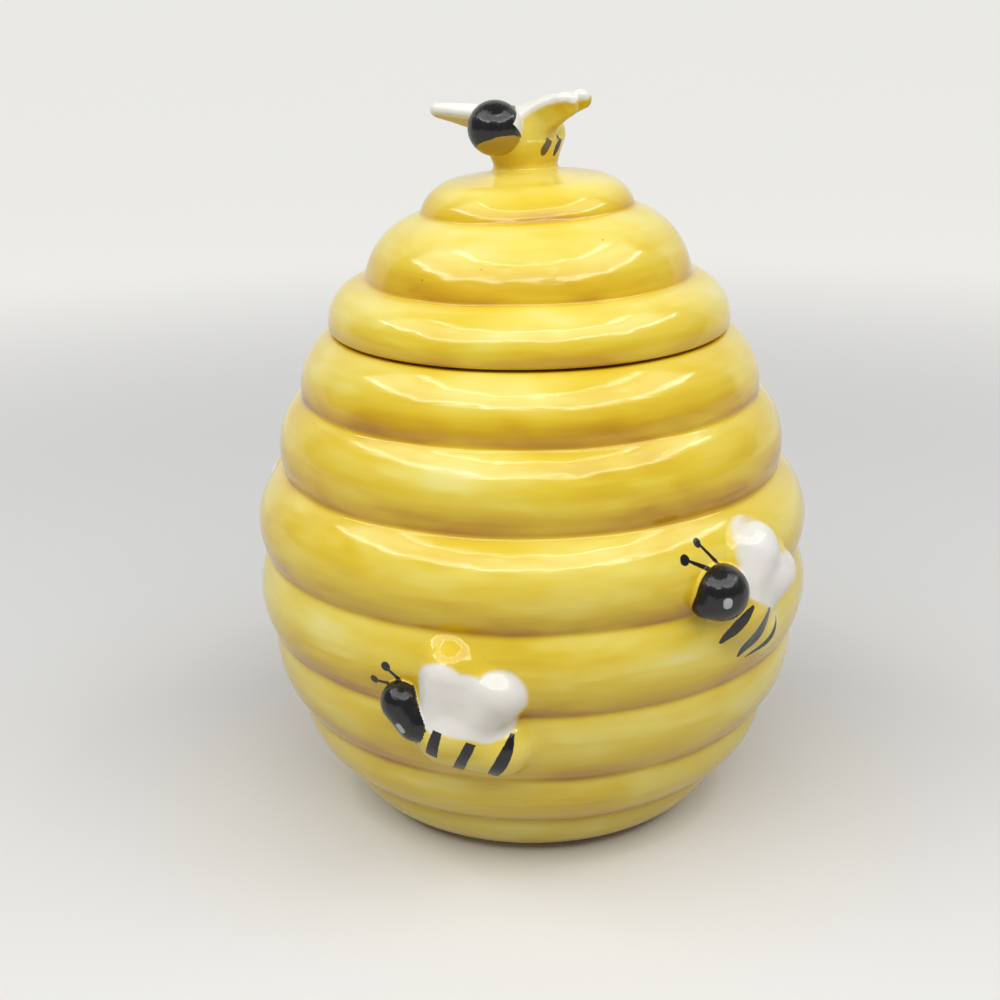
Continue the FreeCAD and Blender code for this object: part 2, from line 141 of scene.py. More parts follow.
def stack(first, coils):
    """Rows up the outside of a stack of coils, from its first crease."""
    parts = []
    crease = first
    for height, radius, swell in coils:
        parts.append(bow(crease, (radius, height), swell))
        crease = (radius, height)
    return np.concatenate(parts)


print("coils:", len(POT_COILS), "on the pot and", len(LID_COILS), "under the lid's crown")

# %% [markdown]
# ## Soft creases
#
# A mould's creases are rounded, and the glaze rounds them further. An arc could be fitted into every
# corner by hand. It is shorter to blur the whole line: each point becomes the weighted mean of its
# neighbours along the line, so a corner turns into a bend about as wide as the blur, and a gentle
# curve hardly moves. Afterwards the rows are spread so that bends get many and straight parts few.

# %% Soften and spread a section
SOFT_CREASE = 0.55
LINE_STEP = 0.2


def at_places(line, run, places):
    """Every column of the line, read at places along its run."""
    return np.stack([np.interp(places, run, column) for column in line.T], axis=1)


def run_of(line):
    gaps = np.hypot(np.diff(line[:, RADIUS]), np.diff(line[:, HEIGHT]))
    return np.concatenate([[0.0], np.cumsum(gaps)])


def soften(line, blur=SOFT_CREASE):
    """The line at an even step, with its corners blurred and its ends kept."""
    run = run_of(line)
    line = at_places(line, run, np.arange(0, run[-1] + LINE_STEP / 2, LINE_STEP))
    reach = int(3 * blur / LINE_STEP)
    offset = np.arange(-reach, reach + 1) * LINE_STEP
    weight = np.exp(-0.5 * (offset / blur) ** 2)
    weight /= weight.sum()
    head = 2 * line[0] - line[reach:0:-1]
    tail = 2 * line[-1] - line[-2:-reach - 2:-1]
    padded = np.concatenate([head, line, tail])
    return np.stack([np.convolve(column, weight, "valid") for column in padded.T], axis=1)


def outward(line):
    """The unit direction out of the surface at each row, to the right of the way."""
    way = np.gradient(line[:, :2], axis=0)
    way /= np.maximum(np.linalg.norm(way, axis=1, keepdims=True), 1e-9)
    return np.stack([way[:, 1], -way[:, 0]], axis=1)


def spread(line, fine=0.6, coarse=2.2, sag=0.35):
    """Rows close together in bends and outside, and far apart on straight inner parts."""
    facing = outward(line)
    bend = np.linalg.norm(np.diff(facing, axis=0), axis=1) / LINE_STEP
    widest = np.where(line[1:, OUTSIDE] > 0.05, fine, coarse)
    step = np.clip(sag / np.maximum(bend, 1e-6), 0.45, widest)
    gaps = np.diff(run_of(line))
    count = np.concatenate([[0.0], np.cumsum(gaps / step)])
    places = np.linspace(0, count[-1], math.ceil(count[-1]) + 1)
    return at_places(line, count, places)


# %% [markdown]
# ## The pot's section and the lid's
#
# The cast wall has one thickness, because slip settles evenly on a mould. The inside is therefore
# the softened outside, moved inwards along its own direction. The rest is a few straight stretches:
# the ring that the jar stands on, which is wiped bare of glaze so that it doesn't stick in the kiln,
# the sunk base, the flat rim, and on the lid a collar that finds the mouth.

# %% Draw both sections
def inside_of(line, wall, lowest):
    """The inside of a wall, from its top down to a height."""
    inner = rows(line[:, :2] - outward(line) * wall)[::-1]
    return inner[inner[:, HEIGHT] > lowest]


pot_outside = soften(stack((FOOT_RADIUS, 0.0), POT_COILS))
floor_top = FOOT_RECESS + POT_WALL
ring_inside = FOOT_RADIUS - FOOT_RING
pot_section = np.concatenate([
    rows([(0.0, FOOT_RECESS), (ring_inside - FOOT_RECESS, FOOT_RECESS)]),
    rows([(ring_inside, 0.0), (FOOT_RADIUS - 0.5, 0.0)], bare=1.0),
    pot_outside,
    # The rim's outer edge gets the deepest amber: painted shade for the dark gap under the lid.
    rows([(RIM_RADIUS - 2.0, RIM_HEIGHT), (RIM_RADIUS - 4.0, RIM_HEIGHT)], outside=1.0, under=1.0),
    rows([(RIM_RADIUS - 5.0, RIM_HEIGHT), (MOUTH_RADIUS, RIM_HEIGHT)]),
    rows([(MOUTH_RADIUS, RIM_HEIGHT - POT_WALL)]),
    inside_of(pot_outside, POT_WALL, floor_top),
    rows([(ring_inside, floor_top), (0.0, floor_top)]),
])
pot_section = spread(soften(pot_section, 0.4))
print("pot section:", len(pot_section), "rows")

lid_coils = stack((RIM_RADIUS, RIM_HEIGHT), LID_COILS)
shoulder_height, shoulder_radius = LID_COILS[-1][:2]
crown_rise = CROWN_HEIGHT - shoulder_height
crown_radius = (shoulder_radius ** 2 + crown_rise ** 2) / (2 * crown_rise)
crown_angle = np.linspace(math.asin(shoulder_radius / crown_radius), 0, 60)
crown = rows(
    np.stack(
        [
            crown_radius * np.sin(crown_angle),
            CROWN_HEIGHT - crown_radius + crown_radius * np.cos(crown_angle),
        ],
        axis=1,
    ),
    outside=1.0,
)
lid_outside = soften(np.concatenate([lid_coils, crown]))
rounder = soften(lid_outside, 2.0)
same = np.linspace(0, 1, len(lid_outside))
rounder = at_places(rounder, np.linspace(0, 1, len(rounder)), same)
share = smooth_step(228.0, 234.0, lid_outside[:, HEIGHT])[:, None]
lid_outside += (rounder - lid_outside) * share
lid_outside[:, POOL] *= 1 - share[:, 0]
lid_outside[-1, RADIUS] = 0.0
collar_inside = COLLAR_RADIUS - COLLAR_WALL
hollow_floor = RIM_HEIGHT + LID_WALL
lid_hollow = inside_of(lid_outside, LID_WALL, hollow_floor)
lid_section = np.concatenate([
    rows([(0.0, CROWN_HEIGHT - LID_WALL)]),
    lid_hollow,
    rows([(collar_inside, hollow_floor), (collar_inside, RIM_HEIGHT - COLLAR_DEPTH)]),
    rows([(COLLAR_RADIUS, RIM_HEIGHT - COLLAR_DEPTH), (COLLAR_RADIUS, RIM_HEIGHT)]),
    rows([(RIM_RADIUS - EDGE_INSET - 1.0, RIM_HEIGHT)]),
    # The lid's seat gets the deepest amber too: painted shade for the gap above the rim.
    rows([(RIM_RADIUS - EDGE_INSET, RIM_HEIGHT)], outside=1.0, under=1.0),
    rows([(RIM_RADIUS - 0.3, RIM_HEIGHT + EDGE_GAP)], outside=1.0, under=1.0),
    lid_outside[lid_outside[:, HEIGHT] > RIM_HEIGHT + EDGE_GAP + 0.3],
])
lid_section = spread(soften(lid_section, 0.4))
print("lid section:", len(lid_section), "rows")

# %% [markdown]
# ## The waver of the hand
#
# A perfect lathe form looks machined. Slow waves round the jar, no more than a quarter of a
# millimetre, break the long highlights on the glaze the way they break on the real one. The waves
# only take away, never add, so the jar stays inside the sizes of its frame. They are a few cosines
# with drawn phases, and the seed is fixed, so the jar is the same each time. The lid's top coils
# also lean a little: they stand about a millimetre higher on the right.

# %% Waves round the jar
WAVER_DEPTH = 0.30
SWAY = 0.30
LEAN_HEIGHTS, LEAN_RISES = (188.0, 225.0, 236.0, CROWN_HEIGHT), (0.0, 1.3, 0.8, 0.0)
draw = np.random.default_rng(11)
waves = [
    (turns, draw.uniform(-0.05, 0.05), draw.uniform(0, 2 * math.pi)) for turns in (2, 3, 5, 8, 11)
]


def wave(azimuth, height, shift):
    """A slow wave between -1 and 1 over the jar."""
    total = 0
    for turns, climb, phase in waves:
        total = total + np.cos(turns * azimuth + climb * height + phase + shift)
    return total / len(waves)


def waver(azimuth, height):
    """How far the surface is pressed in, and how far its coils rise, at a place."""
    pressed = -WAVER_DEPTH * (1 + wave(azimuth, height, 0.0)) / 2
    from_rims = np.minimum(np.abs(height - RIM_HEIGHT), height)
    rise = SWAY * wave(azimuth, height, 2.0) * smooth_step(2.0, 12.0, from_rims)
    rise = rise * (1 - smooth_step(228.0, 236.0, height))
    lean = np.interp(height, LEAN_HEIGHTS, LEAN_RISES) * np.sin(azimuth)
    return pressed, rise + lean


def azimuth_of(points):
    """The angle round the jar, from its front to the right."""
    return np.arctan2(points[:, 0], -points[:, 1])


# %% [markdown]
# ## From section to mesh
#
# A lathe modifier could spin the section, but it would lose the columns that say where glaze gathers.
# Placing the rings in code keeps them: each vertex is a row of the section at one angle, and the
# columns become attributes of the mesh, which any material can read by name.

# %% Make a mesh with attributes
def make_piece(name, points, faces, attributes, normals=None):
    """An object from points in millimetres, faces and named values at its vertices."""
    mesh = bpy.data.meshes.new(name)
    mesh.from_pydata(points * MM, [], faces)
    mesh.polygons.foreach_set("use_smooth", np.ones(len(mesh.polygons), bool))
    for label, values in attributes.items():
        values = np.asarray(values, np.float32)
        kind, key = ("FLOAT_VECTOR", "vector") if values.ndim == 2 else ("FLOAT", "value")
        mesh.attributes.new(label, kind, "POINT").data.foreach_set(key, values.ravel())
    mesh.update()
    if normals is not None:
        mesh.normals_split_custom_set_from_vertices(normals)
    piece = bpy.data.objects.new(name, mesh)
    bpy.context.scene.collection.objects.link(piece)
    return piece


def turned(section, spins=360):
    """Points, faces and columns of a section turned once round the axis."""
    ring = section[1:-1]
    angle = np.linspace(0, 2 * math.pi, spins, endpoint=False)
    azimuth = np.tile(angle, len(ring))
    table = np.repeat(ring, spins, axis=0)
    pressed, rise = waver(azimuth, table[:, HEIGHT])
    radius = table[:, RADIUS] + pressed * table[:, OUTSIDE]
    height = table[:, HEIGHT] + rise * table[:, OUTSIDE]
    points = np.stack([radius * np.sin(azimuth), -radius * np.cos(azimuth), height], axis=1)
    ends = np.array([[0.0, 0.0, section[0, HEIGHT]], [0.0, 0.0, section[-1, HEIGHT]]])
    points = np.concatenate([points, ends])
    table = np.concatenate([table, section[[0, -1]]])
    first, last = len(points) - 2, len(points) - 1
    here = np.arange(spins)
    after = (here + 1) % spins
    base = np.arange(len(ring) - 1)[:, None] * spins
    quads = np.stack([base + here, base + after, base + after + spins, base + here + spins], axis=-1)
    top = (len(ring) - 1) * spins
    fan = [(first, b, a) for a, b in zip(here.tolist(), after.tolist())]
    fan += [(top + a, top + b, last) for a, b in zip(here.tolist(), after.tolist())]
    return points, quads.reshape(-1, 4).tolist() + fan, table


# %% [markdown]
# ## Where a bee is on the wall
#
# A bee is laid out flat, like a drawing: x runs from the middle of its head towards its tail, and y
# runs upwards. To wrap the drawing round the pot, x becomes a stretch of arc. The drawing is rolled
# so that the bee climbs a little. Both the modelling and the brush use this drawing, so a painted
# stripe stays where the body is.

# %% Bees on the pot
class WallBee:
    """One moulded bee's place on the wall, with its head to the left."""

    def __init__(self, name, azimuth, height, radius, roll):
        self.name = name
        self.azimuth = math.radians(azimuth)
        self.height = height
        self.radius = radius
        self.roll = math.radians(roll)

    def drawing(self, points):
        """Places of points in the bee's own drawing."""
        turn = azimuth_of(points) - self.azimuth
        turn = (turn + math.pi) % (2 * math.pi) - math.pi
        along = turn * self.radius
        rise = points[:, 2] - self.height
        cos, sin = math.cos(self.roll), math.sin(self.roll)
        return np.stack([along * cos + rise * sin, rise * cos - along * sin], axis=1)

    def at(self, x, y, turn, out):
        """Middle and axes (along, across, out) of a piece at a spot of the drawing."""
        cos, sin = math.cos(self.roll), math.sin(self.roll)
        azimuth = self.azimuth + (x * cos - y * sin) / self.radius
        height = self.height + x * sin + y * cos
        right = np.array([math.cos(azimuth), math.sin(azimuth), 0.0])
        out_way = np.array([math.sin(azimuth), -math.cos(azimuth), 0.0])
        up = np.array([0.0, 0.0, 1.0])
        lean = self.roll + math.radians(turn)
        along = right * math.cos(lean) + up * math.sin(lean)
        across = up * math.cos(lean) - right * math.sin(lean)
        middle = out_way * (self.radius + out) + up * height
        return middle, np.stack([along, across, out_way])


front_bee = WallBee("front_bee", azimuth=-23.3, height=73.0, radius=99.5, roll=-14.0)
right_bee = WallBee("right_bee", azimuth=36.6, height=110.0, radius=100.5, roll=-34.0)
left_bee = WallBee("left_bee", azimuth=-127.0, height=106.0, radius=100.5, roll=-14.0)
wall_bees = [front_bee, right_bee, left_bee]


# %% Turn the pot and the lid
def turned_piece(name, section, body, node, bees=()):
    points, faces, table = turned(section)
    attributes = {
        "under": table[:, UNDERSIDE_GLAZE_AND_SHADE],
        "pool": table[:, POOL],
        "outside": table[:, OUTSIDE],
        "bare": table[:, BARE],
    }
    for bee in bees:
        spot = bee.drawing(points)
        attributes[bee.name] = np.concatenate([spot, np.zeros((len(spot), 1))], axis=1)
    piece = make_piece(name, points, faces, attributes)
    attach(piece, body)
    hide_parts(node)
    low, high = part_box(node)
    print(name, "faces:", len(faces), "size:", np.ptp(points, axis=0).round(2))
    print("  the frame's:", [round((h - l) / MM, 2) for l, h in zip(low, high)])
    return piece


pot = turned_piece("pot", pot_section, "pot", "pot_body", wall_bees)
lid = turned_piece("lid", lid_section, "lid", "lid_shell")

# %% [markdown]
# ## Modelling in clay: distances
#
# The bees are soft lumps pressed onto a curved, ribbed wall. Their corners could be bevelled, but a
# bevel fails where five rounded surfaces meet. Here each lump is a formula that gives the distance
# from its surface: below zero inside, above zero outside. Two lumps melt into one another when the
# smaller of their distances is taken with a little extra where both are near, which is exactly the
# soft corner that slip and glaze leave.
#
# The wall has no such formula, but its section does: the distance to it is worked out once over a
# grid of radius and height, and read from there, with the same waver as the turned mesh.

# %% The wall as a distance
class Ground:
    """Distance from the outside of the pot or the lid, with the glaze and painted-shade columns of
    its section.
    """

    def __init__(self, line, low, high, step=0.5):
        self.low = np.array(low)
        self.step = step
        axes = [np.arange(low[k], high[k] + step, step) for k in range(2)]
        spots = np.stack(np.meshgrid(*axes, indexing="ij"), axis=-1)
        line = line[(line[:, HEIGHT] > low[1] - 15) & (line[:, HEIGHT] < high[1] + 15)]
        facing = outward(line)
        flat = spots.reshape(-1, 2)
        nearest = np.empty(len(flat), int)
        for start in range(0, len(flat), 4000):
            part = flat[start:start + 4000, None, :] - line[None, :, :2]
            nearest[start:start + 4000] = np.argmin((part ** 2).sum(axis=-1), axis=1)
        distance = ((flat - line[nearest, :2]) * facing[nearest]).sum(axis=1)
        shape = spots.shape[:2]
        self.distance = distance.reshape(shape)
        self.columns = {
            "under": line[nearest, UNDERSIDE_GLAZE_AND_SHADE].reshape(shape),
            "pool": line[nearest, POOL].reshape(shape),
        }

    def look_up(self, table, points):
        """A table's value at points, between its four nearest entries."""
        azimuth = azimuth_of(points)
        pressed, rise = waver(azimuth, points[:, 2])
        radius = np.hypot(points[:, 0], points[:, 1]) - pressed
        height = points[:, 2] - rise
        u = np.clip((radius - self.low[0]) / self.step, 0, table.shape[0] - 1.001)
        v = np.clip((height - self.low[1]) / self.step, 0, table.shape[1] - 1.001)
        i, j = u.astype(int), v.astype(int)
        s, t = u - i, v - j
        below = table[i, j] * (1 - s) + table[i + 1, j] * s
        above = table[i, j + 1] * (1 - s) + table[i + 1, j + 1] * s
        return below * (1 - t) + above * t

    def far(self, points):
        return self.look_up(self.distance, points)


pot_ground = Ground(pot_outside, low=(70.0, 30.0), high=(125.0, 160.0))
lid_ground = Ground(lid_outside, low=(0.0, 205.0), high=(55.0, 275.0))
print("distance tables:", pot_ground.distance.shape, lid_ground.distance.shape)


# %% Lumps of clay and how they melt together
def melt(first, second, soft):
    """The nearer of two distances, rounded where both are within soft of each other."""
    share = np.clip(0.5 + 0.5 * (second - first) / soft, 0, 1)
    return second + (first - second) * share - soft * share * (1 - share)


def ball(points, middle, radius):
    return np.linalg.norm(points - middle, axis=1) - radius


def round_cone(along, aside, length, first, second):
    """A ball at each end and the cone that touches both, from flat coordinates."""
    lean = (first - second) / length
    rise = math.sqrt(1 - lean ** 2)
    place = along * rise - aside * lean
    side = aside * rise + along * lean - first
    start = np.hypot(along, aside) - first
    end = np.hypot(along - length, aside) - second
    return np.where(place < 0, start, np.where(place > rise * length, end, side))


def drop(points, start, end, first, second):
    """A drop of clay from start to end, with a radius at each."""
    way = end - start
    length = np.linalg.norm(way)
    offset = points - start
    along = offset @ (way / length)
    aside = np.sqrt(np.maximum((offset ** 2).sum(axis=1) - along ** 2, 0))
    return round_cone(along, aside, length, first, second)


def slope_of(field, points, reach=0.06):
    """The direction in which a field grows, from its values around each point."""
    slope = np.empty_like(points)
    for k in range(3):
        step = np.zeros(3)
        step[k] = reach
        slope[:, k] = (field(points + step) - field(points - step)) / (2 * reach)
    return slope


# %% [markdown]
# ## From distance to mesh
#
# A mesh is wrapped round the zero of a distance with the method called surface nets. Space is cut
# into small cubes, every cube that the surface crosses gets one vertex in the middle of its
# crossings, and neighbours are joined into quads. Two steps against the slope then put each vertex
# exactly on the surface. Far from the surface a coarse grid is enough, which saves most of the work.

# %% Surface nets
CELL = 0.45


def grid_points(low, step, counts):
    axes = [low[k] + step * np.arange(counts[k]) for k in range(3)]
    return np.stack(np.meshgrid(*axes, indexing="ij"), axis=-1).reshape(-1, 3)


def fill(field, low, counts, stride=4):
    """The field on a fine grid, worked out only near its surface."""
    rough_counts = (counts - 1) // stride + 2
    rough = field(grid_points(low, CELL * stride, rough_counts)).reshape(rough_counts)
    nearest = [np.rint(np.arange(count) / stride).astype(int) for count in counts]
    value = rough[np.ix_(*nearest)]
    close = np.abs(value) < 1.5 * stride * CELL
    value[close] = field(low + CELL * np.argwhere(close))
    return value


def skin(field, low, high):
    """Points and quads of the surface where the field is zero."""
    low = np.array(low, float)
    counts = np.ceil((np.array(high) - low) / CELL).astype(int) + 1
    value = fill(field, low, counts)
    inside = value < 0
    cells = counts - 1
    corners = list(itertools.product((0, 1), repeat=3))
    total = sum(
        inside[tuple(slice(c[k], cells[k] + c[k]) for k in range(3))].astype(int) for c in corners
    )
    spots = np.argwhere((total > 0) & (total < 8))
    number = np.full(cells, -1)
    number[tuple(spots.T)] = np.arange(len(spots))
    place = np.zeros((len(spots), 3))
    hits = np.zeros(len(spots))
    for first, second in itertools.combinations(corners, 2):
        first, second = np.array(first), np.array(second)
        if np.abs(first - second).sum() != 1:
            continue
        a = value[tuple((spots + first).T)]
        b = value[tuple((spots + second).T)]
        crossed = (a < 0) != (b < 0)
        share = np.where(crossed, a / np.where(a == b, 1, a - b), 0)
        place += crossed[:, None] * (first + (second - first) * share[:, None])
        hits += crossed
    points = low + CELL * (spots + place / hits[:, None])
    quads = []
    for k in range(3):
        u, v = (k + 1) % 3, (k + 2) % 3
        near = [slice(None)] * 3
        near[k] = slice(0, -1)
        away = [slice(None)] * 3
        away[k] = slice(1, None)
        for way in (near, away):
            way[u] = slice(1, -1)
            way[v] = slice(1, -1)
        leaving = inside[tuple(near)] & ~inside[tuple(away)]
        entering = ~inside[tuple(near)] & inside[tuple(away)]
        for crossings, order in ((leaving, (0, 1, 2, 3)), (entering, (0, 3, 2, 1))):
            edge = np.argwhere(crossings)
            edge[:, u] += 1
            edge[:, v] += 1
            round_edge = []
            for back_u, back_v in ((1, 1), (0, 1), (0, 0), (1, 0)):
                cell = edge.copy()
                cell[:, u] -= back_u
                cell[:, v] -= back_v
                round_edge.append(number[tuple(cell.T)])
            quads.append(np.stack([round_edge[o] for o in order], axis=1))
    for _ in range(2):
        slope = slope_of(field, points)
        size = np.maximum((slope ** 2).sum(axis=1), 0.2)
        move = np.clip(field(points) / size, -0.3, 0.3)
        points = points - slope * move[:, None]
    return points, np.concatenate(quads)


# %% [markdown]
# ## A bee from its lumps
#
# On the real jar the bee and the wall are one cast, but its head, body and wings are separate
# pieces of the frame, so each gets a mesh of its own. All lumps are melted into one surface first.
# A piece is then the part of it that is nearer to its own lump than to the others. The piece that
# lies on top is cut exactly at the seam, and the one below runs on a little under it, so nothing
# gapes. Towards the wall a piece ends where melting no longer lifts it off the wall.
#
# The normals are taken from the melted surface too, so light runs over the seams.

# %% Cut a melted sculpture into its pieces
TUCK = 0.4
LIFT = 0.015
SHY = 0.1
FAINT = 0.012
ROOTED = 1.5


class Lump:
    """One piece of a sculpture: its distance, and how softly it melts into what it is pressed on.

    With pair set, it melts that softly into the lump before it first, as a fore wing does into its
    hind wing, and both are pressed on together.
    """

    def __init__(self, node, slot, distance, soft, pair=None):
        self.node = node
        self.slot = slot
        self.distance = distance
        self.soft = soft
        self.pair = pair


def pressed_on(wall, lumps, fields):
    """The distance of the whole sculpture, with all its lumps melted together."""
    surface = wall
    group, soft = None, None
    for lump, field in zip(lumps, fields):
        if lump.pair:
            group = melt(group, field, lump.pair)
            continue
        if group is not None:
            surface = melt(surface, group, soft)
        group, soft = field, lump.soft
    return melt(surface, group, soft)


def sculpt(lumps, ground, body, low, high, extra):
    """Meshes of all lumps, the lowest first, melted on a ground. Returns the pieces by node."""

    def fields_at(points):
        wall = ground.far(points)
        fields = [lump.distance(points) + SHY for lump in lumps]
        return wall, fields, pressed_on(wall, lumps, fields)

    def whole(points):
        return fields_at(points)[2]

    pieces = {}
    for rank, lump in enumerate(lumps):
        def cut(points, rank=rank):
            wall, fields, surface = fields_at(points)
            result = surface - LIFT * (rank + 1)
            result = np.maximum(result, (FAINT - (wall - surface)) * 10)
            result = np.maximum(result, -(wall + ROOTED))
            for place, field in enumerate(fields):
                if place != rank:
                    seam = (fields[rank] - field) / 2
                    result = np.maximum(result, seam - TUCK if place > rank else seam)
            return result

        points, quads = skin(cut, low, high)
        wall, fields, surface = fields_at(points)
        shown = surface > -0.25
        normals = slope_of(cut, points)
        normals[shown] = slope_of(whole, points[shown])
        normals /= np.maximum(np.linalg.norm(normals, axis=1, keepdims=True), 1e-9)
        gathered = np.clip((np.minimum(wall, np.min(fields, axis=0)) - surface) / 0.6, 0, 1)
        on_wall = 1 - smooth_step(0.0, 2.5, wall)
        columns = {key: ground.look_up(table, points) for key, table in ground.columns.items()}
        # Where a lump faces down, its glaze darkens: painted shade on the undersides of the bees.
        below = np.maximum(-normals[:, 2], 0) * 0.5
        attributes = {
            "under": columns["under"] * on_wall + below * (1 - on_wall),
            "pool": np.clip(columns["pool"] * on_wall + gathered * 0.3, 0, 1),
            "raised": wall,
        }
        attributes.update(extra(lump, points, normals))
        piece = make_piece(lump.node + "_glazed", points, quads, attributes, normals)
        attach(piece, body)
        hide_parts(lump.node)
        pieces[lump.node] = piece
        print(piece.name, "faces:", len(quads), "size:", np.ptp(points, axis=0).round(1))
    return pieces


# %% [markdown]
# ## The bees on the wall
#
# A bee's body is a fat drop of clay, half sunk in the wall, and its two visible wings are drops that
# fan out from its back. The lower bee looks along the wall, so its head is a long egg on edge. The
# other two turn their faces outwards, and theirs is a ball with a small snout.

# %% Model the bees on the wall
TUMMY_LENGTH, TUMMY_FRONT, TUMMY_TAIL, TUMMY_SINK = 43.0, 14.4, 11.6, 5.2
FORE_LENGTH, FORE_TIP, FORE_ROOT = 40.0, 10.2, 8.8
HIND_LENGTH, HIND_TIP, HIND_ROOT = 34.0, 9.6, 7.6
WING_SINK = 0.4
HEAD_LIFT = 3.8
ROUND_HEAD = 9.8
SNOUT = 3.6
SLIM_HEAD, SLIM_LENGTH = 7.5, 22.6


def drop_at(bee, spot, length, first, second, out):
    """A drop with its middle at a spot of the bee's drawing."""
    middle, axes = bee.at(*spot, out)
    start = middle - axes[0] * (length / 2 - first)
    end = middle + axes[0] * (length / 2 - second)
    return lambda points: drop(points, start, end, first, second)


def side_face(bee, spot):
    return drop_at(bee, spot, SLIM_LENGTH, SLIM_HEAD - 0.4, SLIM_HEAD, HEAD_LIFT)


def front_face(bee, snout_spot):
    middle, axes = bee.at(0.0, 0.0, 0.0, HEAD_LIFT)
    snout, axes = bee.at(*snout_spot, 0.0, HEAD_LIFT)
    return lambda points: melt(
        ball(points, middle, ROUND_HEAD), ball(points, snout, SNOUT), 3.0
    )


def model_bee(bee, face, tummy_spot, fore_spot, hind_spot):
    name = bee.name
    tummy = drop_at(bee, tummy_spot, TUMMY_LENGTH, TUMMY_FRONT, TUMMY_TAIL, -TUMMY_SINK)
    fore = drop_at(bee, fore_spot, FORE_LENGTH, FORE_TIP, FORE_ROOT, -WING_SINK)
    hind = drop_at(bee, hind_spot, HIND_LENGTH, HIND_TIP, HIND_ROOT, -WING_SINK)
    lumps = [
        Lump(f"{name}_body", "honey_glaze", tummy, 3.5),
        Lump(f"{name}_hind_wing", "white_glaze", hind, 3.0),
        Lump(f"{name}_fore_wing", "white_glaze", fore, 3.0, pair=9.0),
        Lump(f"{name}_head", "black_glaze", face, 1.2),
    ]

    def drawing(lump, points, normals):
        flat = bee.drawing(points)
        return {"place": np.concatenate([flat, np.zeros((len(flat), 1))], axis=1)}

    lows, highs = zip(*[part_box(lump.node) for lump in lumps])
    low = np.min(np.array(lows), axis=0) / MM - 3.5
    high = np.max(np.array(highs), axis=0) / MM + 3.5
    return sculpt(lumps, pot_ground, "pot", low, high, drawing)


glazed = model_bee(
    front_bee,
    side_face(front_bee, (-0.6, 0.0, 143.0)),
    tummy_spot=(20.4, -4.4, -4.0),
    fore_spot=(9.0, 8.2, -86.0),
    hind_spot=(23.6, 7.4, -108.0),
)
for bee in (right_bee, left_bee):
    glazed.update(
        model_bee(
            bee,
            front_face(bee, (-4.0, -6.6)),
            tummy_spot=(22.0, -3.6, -4.0),
            fore_spot=(10.8, 8.2, -85.0),
            hind_spot=(24.5, 9.0, -116.0),
        )
    )

# %% [markdown]
# ## The bee on the lid
#
# The handle is sculpted in the round: a ball of a head, a drop of a body on a short post that widens
# upwards, so that fingers hold under it, and two wings that rise to both sides. A wing is two flat
# lobes, one behind the other. A lobe is drawn flat as a round-ended wedge and given a thickness with
# rounded edges, then pitched about its own length, and bent a little so that its upper side is full.

# %% Model the bee on the lid
HANDLE_TURN = math.radians(38.0)
HANDLE_HEAD, HEAD_HEIGHT, HEAD_AHEAD, HEAD_ASIDE = 9.6, 254.0, 13.8, 3.1
HANDLE_LENGTH, HANDLE_FRONT, HANDLE_TAIL, HANDLE_HEIGHT = 35.0, 10.8, 9.0, 250.2
POST_LENGTH, POST_HALF, POST_TAPER = 23.0, 8.0, math.radians(15.0)
POST_BACK, POST_SUNK, POST_RISE = 28.6, 4.0, 14.0
LEAF_ROOT_HALF, LEAF_TIP_HALF, LEAF_EDGE = 3.3, 2.2, 2.1
WHITE_BEHIND = -1.5
UP = np.array([0.0, 0.0, 1.0])

forward = np.array([-math.sin(HANDLE_TURN), -math.cos(HANDLE_TURN), 0.0])
to_right = np.array([forward[1], -forward[0], 0.0])
head_spot = forward * HEAD_AHEAD + to_right * HEAD_ASIDE
head_middle = head_spot + UP * HEAD_HEIGHT
body_front = head_spot - forward * HANDLE_FRONT + UP * HANDLE_HEIGHT
body_tail = head_spot - forward * (HANDLE_LENGTH - HANDLE_TAIL) + UP * HANDLE_HEIGHT
post_foot = CROWN_HEIGHT - POST_SUNK


def post(points):
    """A round-ended block that widens upwards."""
    back = -(points - head_spot) @ forward
    side = (points - head_spot) @ to_right
    end = POST_BACK - POST_HALF
    reach = back - np.clip(back, end - (POST_LENGTH - 2 * POST_HALF), end)
    half = POST_HALF + (points[:, 2] - post_foot) * math.tan(POST_TAPER)
    around = (np.hypot(reach, side) - half) * math.cos(POST_TAPER)
    return np.maximum(around, points[:, 2] - post_foot - POST_RISE)


def handle_body(points):
    tummy = drop(points, body_front, body_tail, HANDLE_FRONT, HANDLE_TAIL)
    return melt(tummy, post(points), 2.0)


